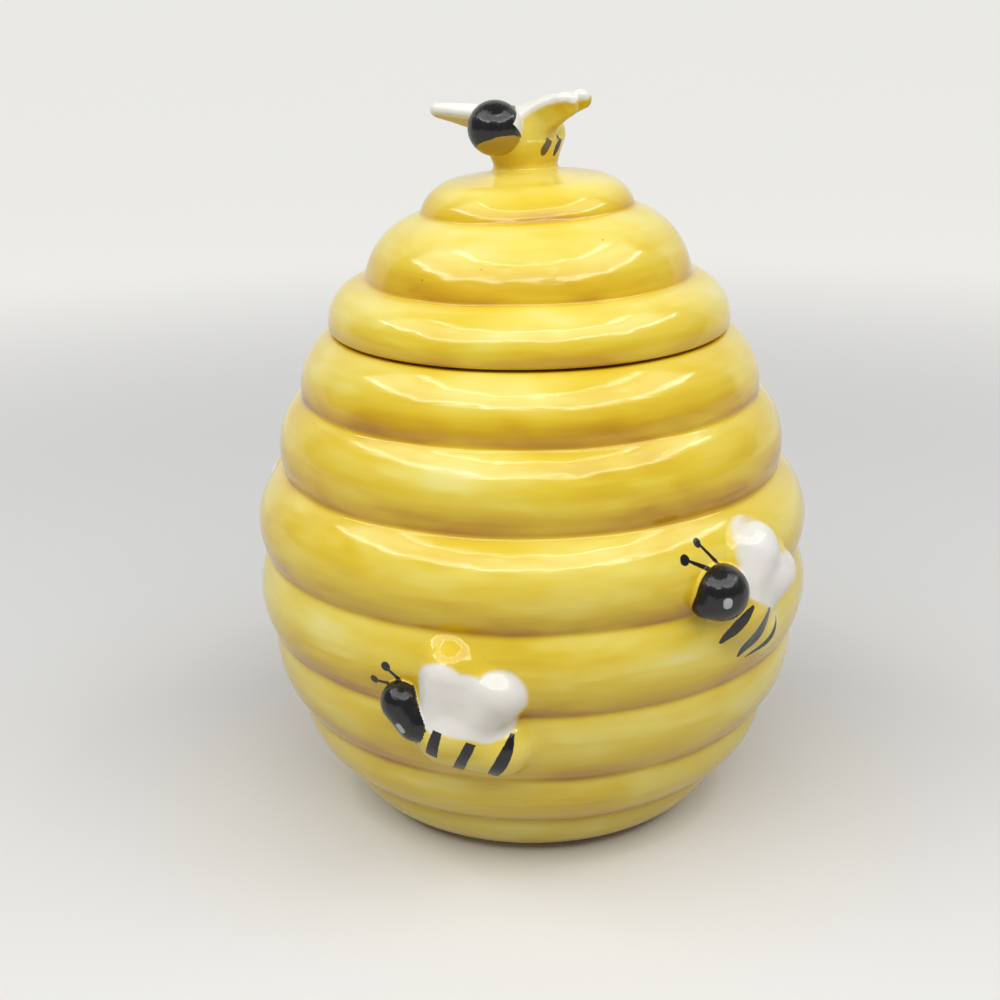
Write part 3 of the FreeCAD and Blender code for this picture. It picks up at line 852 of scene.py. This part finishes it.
class Leaf:
    """A lobe of a wing: a flat wedge with round ends and edges, pitched and bowed."""

    def __init__(self, start, end, root, tip, pitch, bowed, lap):
        self.start = np.array(start)
        span = np.array(end) - self.start
        length = np.linalg.norm(span)
        self.along = span / length
        across = -forward - self.along * (-forward @ self.along)
        across /= np.linalg.norm(across)
        top = np.cross(self.along, across)
        pitch = math.radians(pitch)
        if top[2] < 0:
            across, top, pitch = -across, -top, -pitch
        cos, sin = math.cos(-pitch), math.sin(-pitch)
        self.across, self.top = across * cos + top * sin, top * cos - across * sin
        self.reach = length - tip
        self.root, self.tip, self.bowed, self.lap = root, tip, bowed, lap

    def outline(self, points):
        """Flat distance from the lobe's outline, and the share of the way to its tip."""
        offset = points - self.start
        x = offset @ self.along
        share = np.clip(x / self.reach, 0, 1)
        beside = np.abs(offset @ self.across)
        return round_cone(x, beside, self.reach, self.root, self.tip), share

    def distance(self, points):
        flat, share = self.outline(points)
        z = (points - self.start) @ self.top - self.bowed * 4 * share * (1 - share)
        half = LEAF_ROOT_HALF + (LEAF_TIP_HALF - LEAF_ROOT_HALF) * share
        flat = flat + LEAF_EDGE
        thick = np.abs(z) - half + LEAF_EDGE
        outside = np.hypot(np.maximum(flat, 0), np.maximum(thick, 0))
        return np.minimum(np.maximum(flat, thick), 0) + outside - LEAF_EDGE

    def from_white(self, points, normals):
        """How far a spot is past the white, which covers the top and laps over the edges."""
        inset = -self.outline(points)[0]
        ahead = (points - self.start) @ self.across * np.sign(self.across @ forward)
        lapped = WHITE_BEHIND + (self.lap - WHITE_BEHIND) * smooth_step(-2.0, 1.0, ahead)
        return inset - lapped - 8.0 * smooth_step(0.0, 0.4, normals @ self.top)


leaves = {
    "finial_left_fore_wing": Leaf(
        (-1.0, -5.0, 253.4), (17.4, -12.2, 263.9), 6.8, 4.9, 48.0, bowed=2.2, lap=2.0
    ),
    "finial_left_hind_wing": Leaf(
        (4.5, 0.5, 253.5), (21.7, -10.3, 265.2), 5.0, 4.0, 42.0, bowed=1.8, lap=3.0
    ),
    "finial_right_fore_wing": Leaf(
        (-7.0, 1.0, 253.2), (-34.2, 11.0, 259.2), 8.8, 3.2, 40.0, bowed=0.8, lap=3.4
    ),
    "finial_right_hind_wing": Leaf(
        (-3.5, 7.0, 252.5), (-27.0, 18.0, 257.0), 5.0, 3.4, 32.0, bowed=0.8, lap=2.0
    ),
}
handle_lumps = [Lump("finial_body", "honey_glaze", handle_body, 3.0)]
for side in ("left", "right"):
    for lobe, pair in (("hind", None), ("fore", 1.0)):
        node = f"finial_{side}_{lobe}_wing"
        handle_lumps.append(Lump(node, "white_glaze", leaves[node].distance, 4.0, pair))
handle_lumps.append(
    Lump("finial_head", "black_glaze", lambda points: ball(points, head_middle, HANDLE_HEAD), 0.9)
)


def handle_drawing(lump, points, normals):
    """Places along the bee (back, aside, up) from its head, and how far past a wing's white."""
    offset = points - head_middle
    place = np.stack([-offset @ forward, offset @ to_right, offset[:, 2]], axis=1)
    if lump.node not in leaves:
        return {"place": place}
    return {"place": place, "from_white": leaves[lump.node].from_white(points, normals)}


lows, highs = zip(*[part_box(lump.node) for lump in handle_lumps])
handle_low = np.min(np.array(lows), axis=0) / MM - 3.5
handle_high = np.max(np.array(highs), axis=0) / MM + 3.5
glazed.update(
    sculpt(handle_lumps, lid_ground, "lid", handle_low, handle_high, handle_drawing)
)

# %% [markdown]
# ## Writing materials as sums
#
# A material is a graph of nodes, and a graph is hard to read in code. So a value in the graph is
# wrapped in a small class whose operators add the Math nodes themselves: `thick = 0.3 + 0.4 * under`
# reads like the sum that it is. A second class holds the material while it is made. It has one
# method for every other kind of node, which sets the node's own settings first, then its sockets.

# %% Values and finishes
class Value:
    """A socket of a material that can be written into sums."""

    def __init__(self, finish, socket):
        self.finish = finish
        self.socket = socket

    def maths(self, operation, *inputs, clamp=False):
        return self.finish.node(
            "ShaderNodeMath", {"operation": operation, "use_clamp": clamp}, dict(enumerate(inputs))
        )

    def __add__(self, other):
        return self.maths("ADD", self, other)

    def __radd__(self, other):
        return self.maths("ADD", other, self)

    def __sub__(self, other):
        return self.maths("SUBTRACT", self, other)

    def __rsub__(self, other):
        return self.maths("SUBTRACT", other, self)

    def __mul__(self, other):
        return self.maths("MULTIPLY", self, other)

    def __rmul__(self, other):
        return self.maths("MULTIPLY", other, self)

    def __truediv__(self, other):
        return self.maths("DIVIDE", self, other)

    def __neg__(self):
        return self.maths("MULTIPLY", self, -1.0)

    def limited(self):
        """The value between 0 and 1."""
        return self.maths("ADD", self, 0.0, clamp=True)

    def least(self, other):
        return self.maths("MINIMUM", self, other)

    def most(self, other):
        return self.maths("MAXIMUM", self, other)

    def size(self):
        return self.maths("ABSOLUTE", self)

    def squared(self):
        return self * self

    def root(self):
        return self.maths("SQRT", self)

    def power(self, exponent):
        return self.maths("POWER", self, exponent)

    def between(self, low, high):
        """0 at low, 1 at high, and an easy slope between."""
        return self.finish.node(
            "ShaderNodeMapRange",
            {"interpolation_type": "SMOOTHSTEP"},
            {"Value": self, "From Min": low, "From Max": high},
        )


class Finish:
    """A material while it is made."""

    def __init__(self, name):
        self.material = bpy.data.materials.new(name)
        self.material.use_nodes = True
        self.tree = self.material.node_tree
        self.tree.nodes.clear()

    def node(self, kind, settings=None, inputs=None, output=0):
        """A node: its settings first, then its sockets, by name or number. Returns one output."""
        made = self.tree.nodes.new(kind)
        for key, setting in (settings or {}).items():
            if key == "stops":
                ramp = made.color_ramp
                while len(ramp.elements) < len(setting):
                    ramp.elements.new(1.0)
                for element, (position, colour) in zip(ramp.elements, setting):
                    element.position = position
                    element.color = colour
            else:
                setattr(made, key, setting)
        for key, entry in (inputs or {}).items():
            if isinstance(entry, Value):
                self.tree.links.new(entry.socket, made.inputs[key])
            else:
                made.inputs[key].default_value = entry
        return None if output is None else Value(self, made.outputs[output])

    def attribute(self, name):
        return self.node("ShaderNodeAttribute", {"attribute_name": name}, output="Fac")

    def spot(self, name):
        """The three parts of a vector attribute."""
        vector = self.node("ShaderNodeAttribute", {"attribute_name": name}, output="Vector")
        split = [self.node("ShaderNodeSeparateXYZ", None, {0: vector}, output=k) for k in range(3)]
        return split

    def mix(self, factor, first, second):
        """The first colour where the factor is 0 and the second where it is 1."""
        return self.node(
            "ShaderNodeMix",
            {"data_type": "RGBA"},
            {0: factor, 6: first, 7: second},
            output=2,
        )

    def stretched(self, x, y, z):
        """The object's own coordinates, in millimetres, times a number for each axis."""
        place = self.node("ShaderNodeTexCoord", output="Object")
        return self.node(
            "ShaderNodeVectorMath",
            {"operation": "MULTIPLY"},
            {0: place, 1: (x / MM, y / MM, z / MM)},
        )

    def noise(self, place, detail=2.0, roughness=0.5, distortion=0.0):
        return self.node(
            "ShaderNodeTexNoise",
            None,
            {
                "Vector": place,
                "Scale": 1.0,
                "Detail": detail,
                "Roughness": roughness,
                "Distortion": distortion,
            },
        )


def tint(red, green, blue):
    """A colour as a brush sees it, 0 to 255, turned into the linear values that light adds up in."""
    linear = []
    for part in (red, green, blue):
        share = part / 255
        linear.append(share / 12.92 if share <= 0.04045 else ((share + 0.055) / 1.055) ** 2.4)
    return (*linear, 1.0)


# %% [markdown]
# ## The yellow glaze
#
# The yellow is a translucent glaze, brushed on in bands round the jar over a white body. Thin, it is
# pale and lemon; thick, it goes golden and then amber. So one number, its thickness, gives the
# colour through a ramp. It grows in the creases, where the melted glaze ran together, and on the
# underside of each coil, partly as gathered glaze and partly as painted shade, since the undersides
# face away from the lamps. It varies with the strokes of the brush: noise that is stretched far round
# the jar and little up it. The same strokes, as a faint relief, break up the reflections.

# %% Glaze recipes
class Coat:
    """What one finish looks like at a spot: colour, roughness and relief in millimetres."""

    def __init__(self, colour, roughness, relief):
        self.colour = colour
        self.roughness = roughness
        self.relief = relief


def honey(finish, paler=0.0):
    under = finish.attribute("under")
    pool = finish.attribute("pool")
    strokes = finish.noise(finish.stretched(0.012, 0.012, 0.11), 2.0, 0.5, 0.3)
    clouds = finish.noise(finish.stretched(0.022, 0.022, 0.045), 2.0, 0.5, 0.4)
    bands = finish.noise(finish.stretched(0.018, 0.018, 0.45), 2.0, 0.5)
    dabs = finish.noise(finish.stretched(0.024, 0.024, 0.10), 2.0, 0.5, 0.3)
    # The underside value thickens the glaze to amber: partly gathered glaze, partly painted shade of
    # the coil undersides.
    thickness = 0.38 - paler + 0.44 * under + 0.12 * pool - 0.10 * dabs.between(0.48, 0.62)
    thickness = thickness + 0.42 * (strokes - 0.5) + 0.75 * (clouds - 0.5) + 0.14 * (bands - 0.5)
    colour = finish.node(
        "ShaderNodeValToRGB",
        {
            "stops": [
                (0.00, tint(245, 233, 158)),
                (0.22, tint(241, 222, 104)),
                (0.44, tint(234, 204, 56)),
                (0.64, tint(223, 184, 28)),
                (0.82, tint(202, 152, 10)),
                (1.00, tint(160, 108, 4)),
            ]
        },
        {0: thickness},
    )
    pits = finish.node(
        "ShaderNodeTexVoronoi", None, {"Vector": finish.stretched(0.045, 0.045, 0.045), "Scale": 1.0}
    )
    colour = finish.mix(pits.between(0.016, 0.010), colour, tint(92, 60, 14))
    swell = finish.noise(finish.stretched(0.035, 0.035, 0.10), 2.0, 0.5)
    fine = finish.noise(finish.stretched(0.10, 0.10, 0.45), 2.0, 0.5)
    relief = 0.45 * swell + 0.07 * fine
    roughness = 0.10 + 0.08 * fine
    return Coat(colour, roughness, relief)


def white(finish):
    clouds = finish.noise(finish.stretched(0.06, 0.06, 0.06), 2.0, 0.5, 0.3)
    colour = finish.mix(clouds.between(0.3, 0.75), tint(246, 244, 236), tint(232, 228, 216))
    swell = finish.noise(finish.stretched(0.08, 0.08, 0.08), 2.0, 0.5)
    return Coat(colour, 0.13 + 0.06 * clouds, 0.30 * swell)


def black(finish):
    brushed = finish.noise(finish.stretched(0.35, 0.35, 0.12), 3.0, 0.6, 0.6)
    colour = finish.mix(brushed.between(0.5, 0.8), tint(11, 10, 9), tint(34, 32, 31))
    return Coat(colour, 0.07 + 0.18 * brushed, 0.30 * brushed)


def bisque(finish):
    grain = finish.noise(finish.stretched(1.4, 1.4, 1.4), 3.0, 0.6)
    colour = finish.mix(grain, tint(226, 208, 184), tint(206, 186, 160))
    return Coat(colour, 0.75 + 0.15 * grain, 0.03 * grain)


def over(finish, mask, below, above):
    """One coat laid over another where the mask is 1."""
    return Coat(
        finish.mix(mask, below.colour, above.colour),
        below.roughness + (above.roughness - below.roughness) * mask,
        below.relief + (above.relief - below.relief) * mask,
    )


def finished(finish, coat):
    """Close the material: a hard, clear, glossy surface over the coat's colour."""
    bump = finish.node(
        "ShaderNodeBump", None, {"Strength": 1.0, "Distance": MM, "Height": coat.relief}
    )
    surface = finish.node(
        "ShaderNodeBsdfPrincipled",
        None,
        {
            "Base Color": coat.colour,
            "Roughness": coat.roughness,
            "IOR": 1.55,
            "Normal": bump,
        },
    )
    finish.node("ShaderNodeOutputMaterial", None, {"Surface": surface}, output=None)
    return finish.material


# %% [markdown]
# ## Brush strokes
#
# Antennae, stripes and eyes are painted, not modelled. A stroke is drawn in the bee's own drawing,
# between two points, fuller in its middle than at its ends and a little bowed. The number that comes
# out is the distance from the stroke's edge, so a mask with a crisp or a soft edge can be cut from
# it. A little noise on that distance gives the uneven edge of a brush.

# %% Strokes
class Mark:
    """One touch of the brush in a bee's drawing, from a start to an end, in millimetres."""

    def __init__(self, start, end, first, last, belly=0.0, bowed=0.0, blunt=False):
        self.start = start
        self.end = end
        self.first = first
        self.last = last
        self.belly = belly
        self.bowed = bowed
        self.blunt = blunt

    def distance(self, x, y):
        """Distance from the mark's edge, below zero inside it."""
        length = math.dist(self.start, self.end)
        way = [(e - s) / length for s, e in zip(self.start, self.end)]
        along = (x - self.start[0]) * way[0] + (y - self.start[1]) * way[1]
        aside = (y - self.start[1]) * way[0] - (x - self.start[0]) * way[1]
        share = (along / length).limited()
        full = 4 * share * (1 - share)
        beside = aside - self.bowed * full
        half = self.first + (self.last - self.first) * share + self.belly * full
        if self.blunt:
            return (beside.size() - half).most((along - length / 2).size() - length / 2)
        past = along - share * length
        return (past.squared() + beside.squared()).root() - half


def dot(middle, radius):
    return Mark(middle, (middle[0] + 0.01, middle[1]), radius, radius)


def painted(finish, marks, x, y, uneven, soft, scale=0.5):
    """1 inside any of the marks, with an uneven edge."""
    nearest = marks[0].distance(x, y)
    for mark in marks[1:]:
        nearest = nearest.least(mark.distance(x, y))
    return (nearest + unevenness(finish, uneven, scale)).between(soft, -soft)


def unevenness(finish, depth, scale=0.5):
    return depth * (finish.noise(finish.stretched(scale, scale, scale), 2.0, 0.5) - 0.5)


class BeePaint:
    """Where the brush went on one bee."""

    def __init__(self, antennae, stripes, white, eye, bare_foot):
        self.antennae = antennae
        self.stripes = stripes
        self.white = white
        self.eye = eye
        self.bare_foot = bare_foot


side_paint = BeePaint(
    antennae=[
        dot((-12.2, 11.8), 1.7),
        Mark((-11.6, 11.3), (-5.0, 8.6), 0.45, 0.85),
        dot((-15.7, 4.7), 1.5),
        Mark((-14.8, 4.6), (-8.2, 6.2), 0.45, 0.8),
    ],
    stripes=[
        Mark((11.5, -0.2), (11.1, -10.8), 1.5, 2.1, blunt=True),
        Mark((22.3, -1.4), (19.4, -17.0), 1.6, 1.8, blunt=True),
        Mark((33.9, 3.2), (31.0, -13.4), 0.8, 1.6, 0.9, 0.6, blunt=True),
    ],
    white=[
        Mark((8.4, 15.4), (10.5, 5.0), 8.0, 6.5),
        Mark((14.0, 13.4), (22.0, 13.0), 8.2, 8.2),
        Mark((26.6, 16.0), (22.0, 8.0), 9.0, 8.0),
        Mark((11.0, 6.6), (26.0, 8.0), 7.4, 8.3),
    ],
    eye=[Mark((-0.4, -2.9), (0.8, -3.9), 1.15, 1.15)],
    bare_foot=0.7,
)
front_paint = BeePaint(
    antennae=[
        dot((-16.8, 3.9), 1.8),
        Mark((-15.2, 4.3), (-8.0, 5.0), 0.5, 0.8),
        dot((-13.4, 11.0), 1.45),
        Mark((-12.6, 10.9), (-5.0, 8.4), 0.45, 0.7),
    ],
    stripes=[
        Mark((11.2, -0.2), (11.4, -14.4), 0.8, 0.8, 1.2, -1.0),
        Mark((21.6, 1.8), (24.0, -16.0), 0.9, 0.8, 2.1, -0.6),
        Mark((33.4, 1.2), (28.4, -15.2), 0.5, 0.4, 1.0, 0.9),
    ],
    white=[
        Mark((8.4, 18.9), (10.5, 9.0), 9.0, 7.0),
        Mark((14.0, 14.0), (22.0, 13.5), 7.6, 7.8),
        Mark((27.2, 14.2), (22.0, 9.5), 9.0, 7.5),
        Mark((11.0, 9.0), (26.0, 10.5), 6.9, 7.8),
    ],
    eye=[Mark((-2.8, -3.0), (-3.6, -1.8), 1.2, 1.2)],
    bare_foot=1.5,
)
paint_of = {"front_bee": side_paint, "right_bee": front_paint, "left_bee": front_paint}


# %% [markdown]
# ## Each piece's finish
#
# The pot carries four of the coats: yellow outside, clear-glazed white inside, bare clay on the ring
# that it stands on, and the antennae, which reach from each head onto the wall.

# %% Finish the pot and the lid
def glazed_white_inside(finish, coat):
    """The coat outside, and clear-glazed white past the rim's edge."""
    brushed = finish.attribute("outside") + unevenness(finish, 0.3, 0.3)
    return over(finish, brushed.between(0.45, 0.6), white(finish), coat)


def finish_pot():
    finish = Finish("pot glaze")
    coat = glazed_white_inside(finish, honey(finish))
    coat = over(finish, finish.attribute("bare").between(0.4, 0.6), coat, bisque(finish))
    for bee in wall_bees:
        x, y, _ = finish.spot(bee.name)
        feelers = painted(finish, paint_of[bee.name].antennae, x, y, 0.3, 0.12)
        coat = over(finish, feelers, coat, black(finish))
    return finished(finish, coat)


def finish_lid():
    finish = Finish("lid glaze")
    return finished(finish, glazed_white_inside(finish, honey(finish, paler=0.08)))


pot.data.materials.append(finish_pot())
lid.data.materials.append(finish_lid())

# %% [markdown]
# The wings are white almost to their edges, but the brush kept clear of the corners, so a yellow
# margin is left, widest at the fore wing's tip. The same white also covers the upper half of the
# body, down to the stripes. So body and wings share one finish, and no seam shows in the paint.


# %% Finish the bees on the wall
def finish_body_and_wings(name, paint):
    finish = Finish(f"{name} glaze")
    x, y, _ = finish.spot("place")
    wings = painted(finish, paint.white, x, y, 1.2, 0.9, 0.2)
    coat = over(finish, wings, honey(finish), white(finish))
    stripes = painted(finish, paint.stripes, x, y, 0.5, 0.14)
    return finished(finish, over(finish, stripes, coat, black(finish)))


def finish_head(name, paint):
    finish = Finish(f"{name} head glaze")
    x, y, _ = finish.spot("place")
    foot = finish.attribute("raised") - paint.bare_foot + unevenness(finish, 0.5, 0.3)
    dark = foot.between(-0.2, 0.2).most(painted(finish, paint.antennae, x, y, 0.4, 0.15))
    coat = over(finish, dark, honey(finish), black(finish))
    eye = painted(finish, paint.eye, x, y, 0.4, 0.25)
    pale = Coat(tint(176, 180, 182), 0.15, 0.0)
    return finished(finish, over(finish, eye, coat, pale))


for bee in wall_bees:
    paint = paint_of[bee.name]
    shared = finish_body_and_wings(bee.name, paint)
    for part in ("body", "fore_wing", "hind_wing"):
        glazed[f"{bee.name}_{part}"].data.materials.append(shared)
    glazed[f"{bee.name}_head"].data.materials.append(finish_head(bee.name, paint))

# %% [markdown]
# The bee on the lid is painted more freely. Its head is black only over the upper part, with a
# darker amber below as painted shade on its underside. Its wings are white on top, lapping over
# their leading edges, and yellow below. Two black stripes mark each flank, coloured brown and umber
# as a painted reflection in their black glaze.


# %% Finish the bee on the lid
def finish_handle_body():
    finish = Finish("handle body glaze")
    back, aside, height = finish.spot("place")
    coat = honey(finish)
    # The flank stripes are black glaze, coloured brown and umber here: a painted reflection.
    stripe_painted_reflection = Coat(tint(104, 80, 24), 0.12, 0.0)
    stripe_dim_painted_reflection = Coat(tint(58, 38, 12), 0.12, 0.0)
    first = [Mark((13.9, -8.2), (15.3, -6.2), 2.1, 2.0)]
    second = [Mark((20.4, -10.4), (23.2, -4.8), 0.7, 0.7, 0.8)]
    coat = over(finish, painted(finish, first, back, height, 0.4, 0.2), coat, stripe_painted_reflection)
    coat = over(finish, painted(finish, second, back, height, 0.4, 0.2), coat, stripe_dim_painted_reflection)
    return finished(finish, coat)


def finish_handle_head():
    finish = Finish("handle head glaze")
    back, aside, height = finish.spot("place")
    edge = height + 5.9 + 0.15 * back + 0.40 * aside + unevenness(finish, 0.8, 0.3)
    # The yellow below the black is painted a darker amber: painted shade on the head's underside.
    shaded_chin = Coat(tint(176, 140, 34), 0.14, 0.0)
    coat = over(finish, edge.between(-0.1, 0.15), shaded_chin, black(finish))
    wedge = back + 1.6 - 1.25 * (height - 1.9).size() + unevenness(finish, 0.6, 0.4)
    beside = (-aside).between(4.0, 6.0)
    return finished(finish, over(finish, wedge.between(-0.1, 0.2) * beside, coat, white(finish)))


def finish_handle_wing():
    finish = Finish("handle wing glaze")
    edge = finish.attribute("from_white") + unevenness(finish, 1.2, 0.25)
    return finished(finish, over(finish, edge.between(0.9, -0.9), honey(finish), white(finish)))


glazed["finial_body"].data.materials.append(finish_handle_body())
glazed["finial_head"].data.materials.append(finish_handle_head())
handle_wing = finish_handle_wing()
for node in leaves:
    glazed[node].data.materials.append(handle_wing)
print("materials:", len(bpy.data.materials))

# %% [markdown]
# ## The stage
#
# A pale sheet of paper runs from the table up behind the jar in one curve, so no edge shows. The
# main light is a wide soft panel high in front, with a brighter tube along its near and far edge:
# glaze shows its lamps, and the two bright lines on each coil are those edges.

# %% Paper sweep
FLOOR_DROP = 0.0002
SWEEP_HALF_WIDTH = 3.0
SWEEP_FRONT, SWEEP_BACK, SWEEP_BEND, SWEEP_TOP = -2.5, 1.1, 0.7, 3.0

bend_angle = np.linspace(0, math.pi / 2, 24)
profile = [(SWEEP_FRONT, 0.0)]
profile += [
    (SWEEP_BACK + SWEEP_BEND * math.sin(a), SWEEP_BEND * (1 - math.cos(a))) for a in bend_angle
]
profile += [(SWEEP_BACK + SWEEP_BEND, SWEEP_TOP)]
paper_points = [
    (x, y, z - FLOOR_DROP) for x in (-SWEEP_HALF_WIDTH, SWEEP_HALF_WIDTH) for y, z in profile
]
count = len(profile)
paper_faces = [(k, k + count, k + count + 1, k + 1) for k in range(count - 1)]
paper_mesh = bpy.data.meshes.new("paper")
paper_mesh.from_pydata(paper_points, [], paper_faces)
paper_mesh.polygons.foreach_set("use_smooth", [True] * len(paper_faces))
paper = bpy.data.objects.new("paper", paper_mesh)
bpy.context.scene.collection.objects.link(paper)

# %% [markdown]
# Paper that is this near to a camera and its lamps shows grey at the back, where less light falls.
# So what the lens and the glaze see of it fades, away from the jar, into a pale tone that needs no
# light. Light that bounces from the paper onto the jar meets a darker paper: on the real one, the
# undersides of the coils stay deep.

# %% Paper finish
paper_finish = Finish("paper")
seen = paper_finish.node("ShaderNodeLightPath", output="Is Camera Ray")
for ray in ("Is Glossy Ray", "Is Transmission Ray"):
    seen = seen.most(paper_finish.node("ShaderNodeLightPath", output=ray))
x, y, z = [
    paper_finish.node(
        "ShaderNodeSeparateXYZ", None, {0: paper_finish.stretched(MM, MM, MM)}, output=k
    )
    for k in range(3)
]
away = (x.squared() + y.squared() + z.squared()).root()
glow = away.between(0.25, 1.2) * seen
lit = paper_finish.mix(seen, tint(178, 174, 168), tint(232, 231, 228))
paper_shader = paper_finish.node(
    "ShaderNodeBsdfPrincipled",
    None,
    {
        "Base Color": paper_finish.mix(glow, lit, tint(0, 0, 0)),
        "Roughness": 0.85,
        "Emission Color": paper_finish.mix(glow, tint(0, 0, 0), tint(232, 231, 228)),
        "Emission Strength": 1.0,
    },
)
paper_finish.node("ShaderNodeOutputMaterial", None, {"Surface": paper_shader}, output=None)
paper_mesh.materials.append(paper_finish.material)


# %% Lamps
def lamp(name, middle, aim, width, depth, power):
    """A soft rectangular lamp at a place, aimed at a point."""
    light = bpy.data.lights.new(name, "AREA")
    light.shape = "RECTANGLE"
    light.size = width
    light.size_y = depth
    light.energy = power
    place = bpy.data.objects.new(name, light)
    bpy.context.scene.collection.objects.link(place)
    away = np.array(middle) - np.array(aim)
    away /= np.linalg.norm(away)
    side = np.cross(UP, away)
    side /= np.linalg.norm(side)
    top = np.cross(away, side)
    columns = np.stack([side, top, away, np.array(middle)], axis=1)
    place.matrix_world = Matrix([*columns.tolist(), [0, 0, 0, 1]])
    place.visible_camera = False
    return place


JAR_MIDDLE = (0.0, 0.0, 0.14)
LAMP_TURNS = (-84, -42, 0, 42, 84)


def row_of_lamps(name, reach, height, depth, power):
    """Lamps side by side on an arc round the jar's front."""
    width = 2 * reach * math.tan(math.radians(21.5))
    for turn in LAMP_TURNS:
        around = math.radians(turn)
        middle = (reach * math.sin(around), -reach * math.cos(around), height)
        lamp(name, middle, JAR_MIDDLE, width, depth, power)
    print(name, "x", len(LAMP_TURNS), "at", height, "m, each", round(width, 2), "m wide")


row_of_lamps("panel", 0.86, 1.06, 0.40, 1.6)
row_of_lamps("near tube", 1.00, 0.92, 0.045, 1.25)
row_of_lamps("far tube", 0.62, 1.22, 0.045, 0.65)

world = bpy.data.worlds.new("room")
world.use_nodes = True
world.node_tree.nodes["Background"].inputs["Color"].default_value = (0.92, 0.95, 1.0, 1.0)
world.node_tree.nodes["Background"].inputs["Strength"].default_value = 0.34
bpy.context.scene.world = world

# %% [markdown]
# ## The camera
#
# The lens stands a little over half a metre in front of the jar and above it, looking down by 19
# degrees. Those numbers came from fitting the jar's own outline, and they keep its proportions
# true: nearer or further, the coils would open or close.

# %% Camera
FRAME_PIXELS = 1000
FOCAL_PIXELS = 1591.0
LOOKS_DOWN = math.radians(18.95)
LOOKS_RIGHT = math.radians(-1.18)
LEANS = math.radians(-1.09)
CAMERA_PLACE = (0.0, -0.573, 0.3112)

camera_data = bpy.data.cameras.new("camera")
camera_data.sensor_width = 36.0
camera_data.lens = FOCAL_PIXELS / FRAME_PIXELS * camera_data.sensor_width
camera_data.clip_start = 0.01
camera = bpy.data.objects.new("camera", camera_data)
bpy.context.scene.collection.objects.link(camera)
ahead = np.array([
    math.sin(LOOKS_RIGHT) * math.cos(LOOKS_DOWN),
    math.cos(LOOKS_RIGHT) * math.cos(LOOKS_DOWN),
    -math.sin(LOOKS_DOWN),
])
level_right = np.array([math.cos(LOOKS_RIGHT), -math.sin(LOOKS_RIGHT), 0.0])
level_up = np.cross(level_right, ahead)
camera_right = math.cos(LEANS) * level_right + math.sin(LEANS) * level_up
camera_up = math.cos(LEANS) * level_up - math.sin(LEANS) * level_right
columns = np.stack([camera_right, camera_up, -ahead, np.array(CAMERA_PLACE)], axis=1)
camera.matrix_world = Matrix([*columns.tolist(), [0, 0, 0, 1]])
bpy.context.scene.camera = camera
bpy.context.scene.view_settings.view_transform = "Standard"
print("lens:", round(camera_data.lens, 2), "mm")
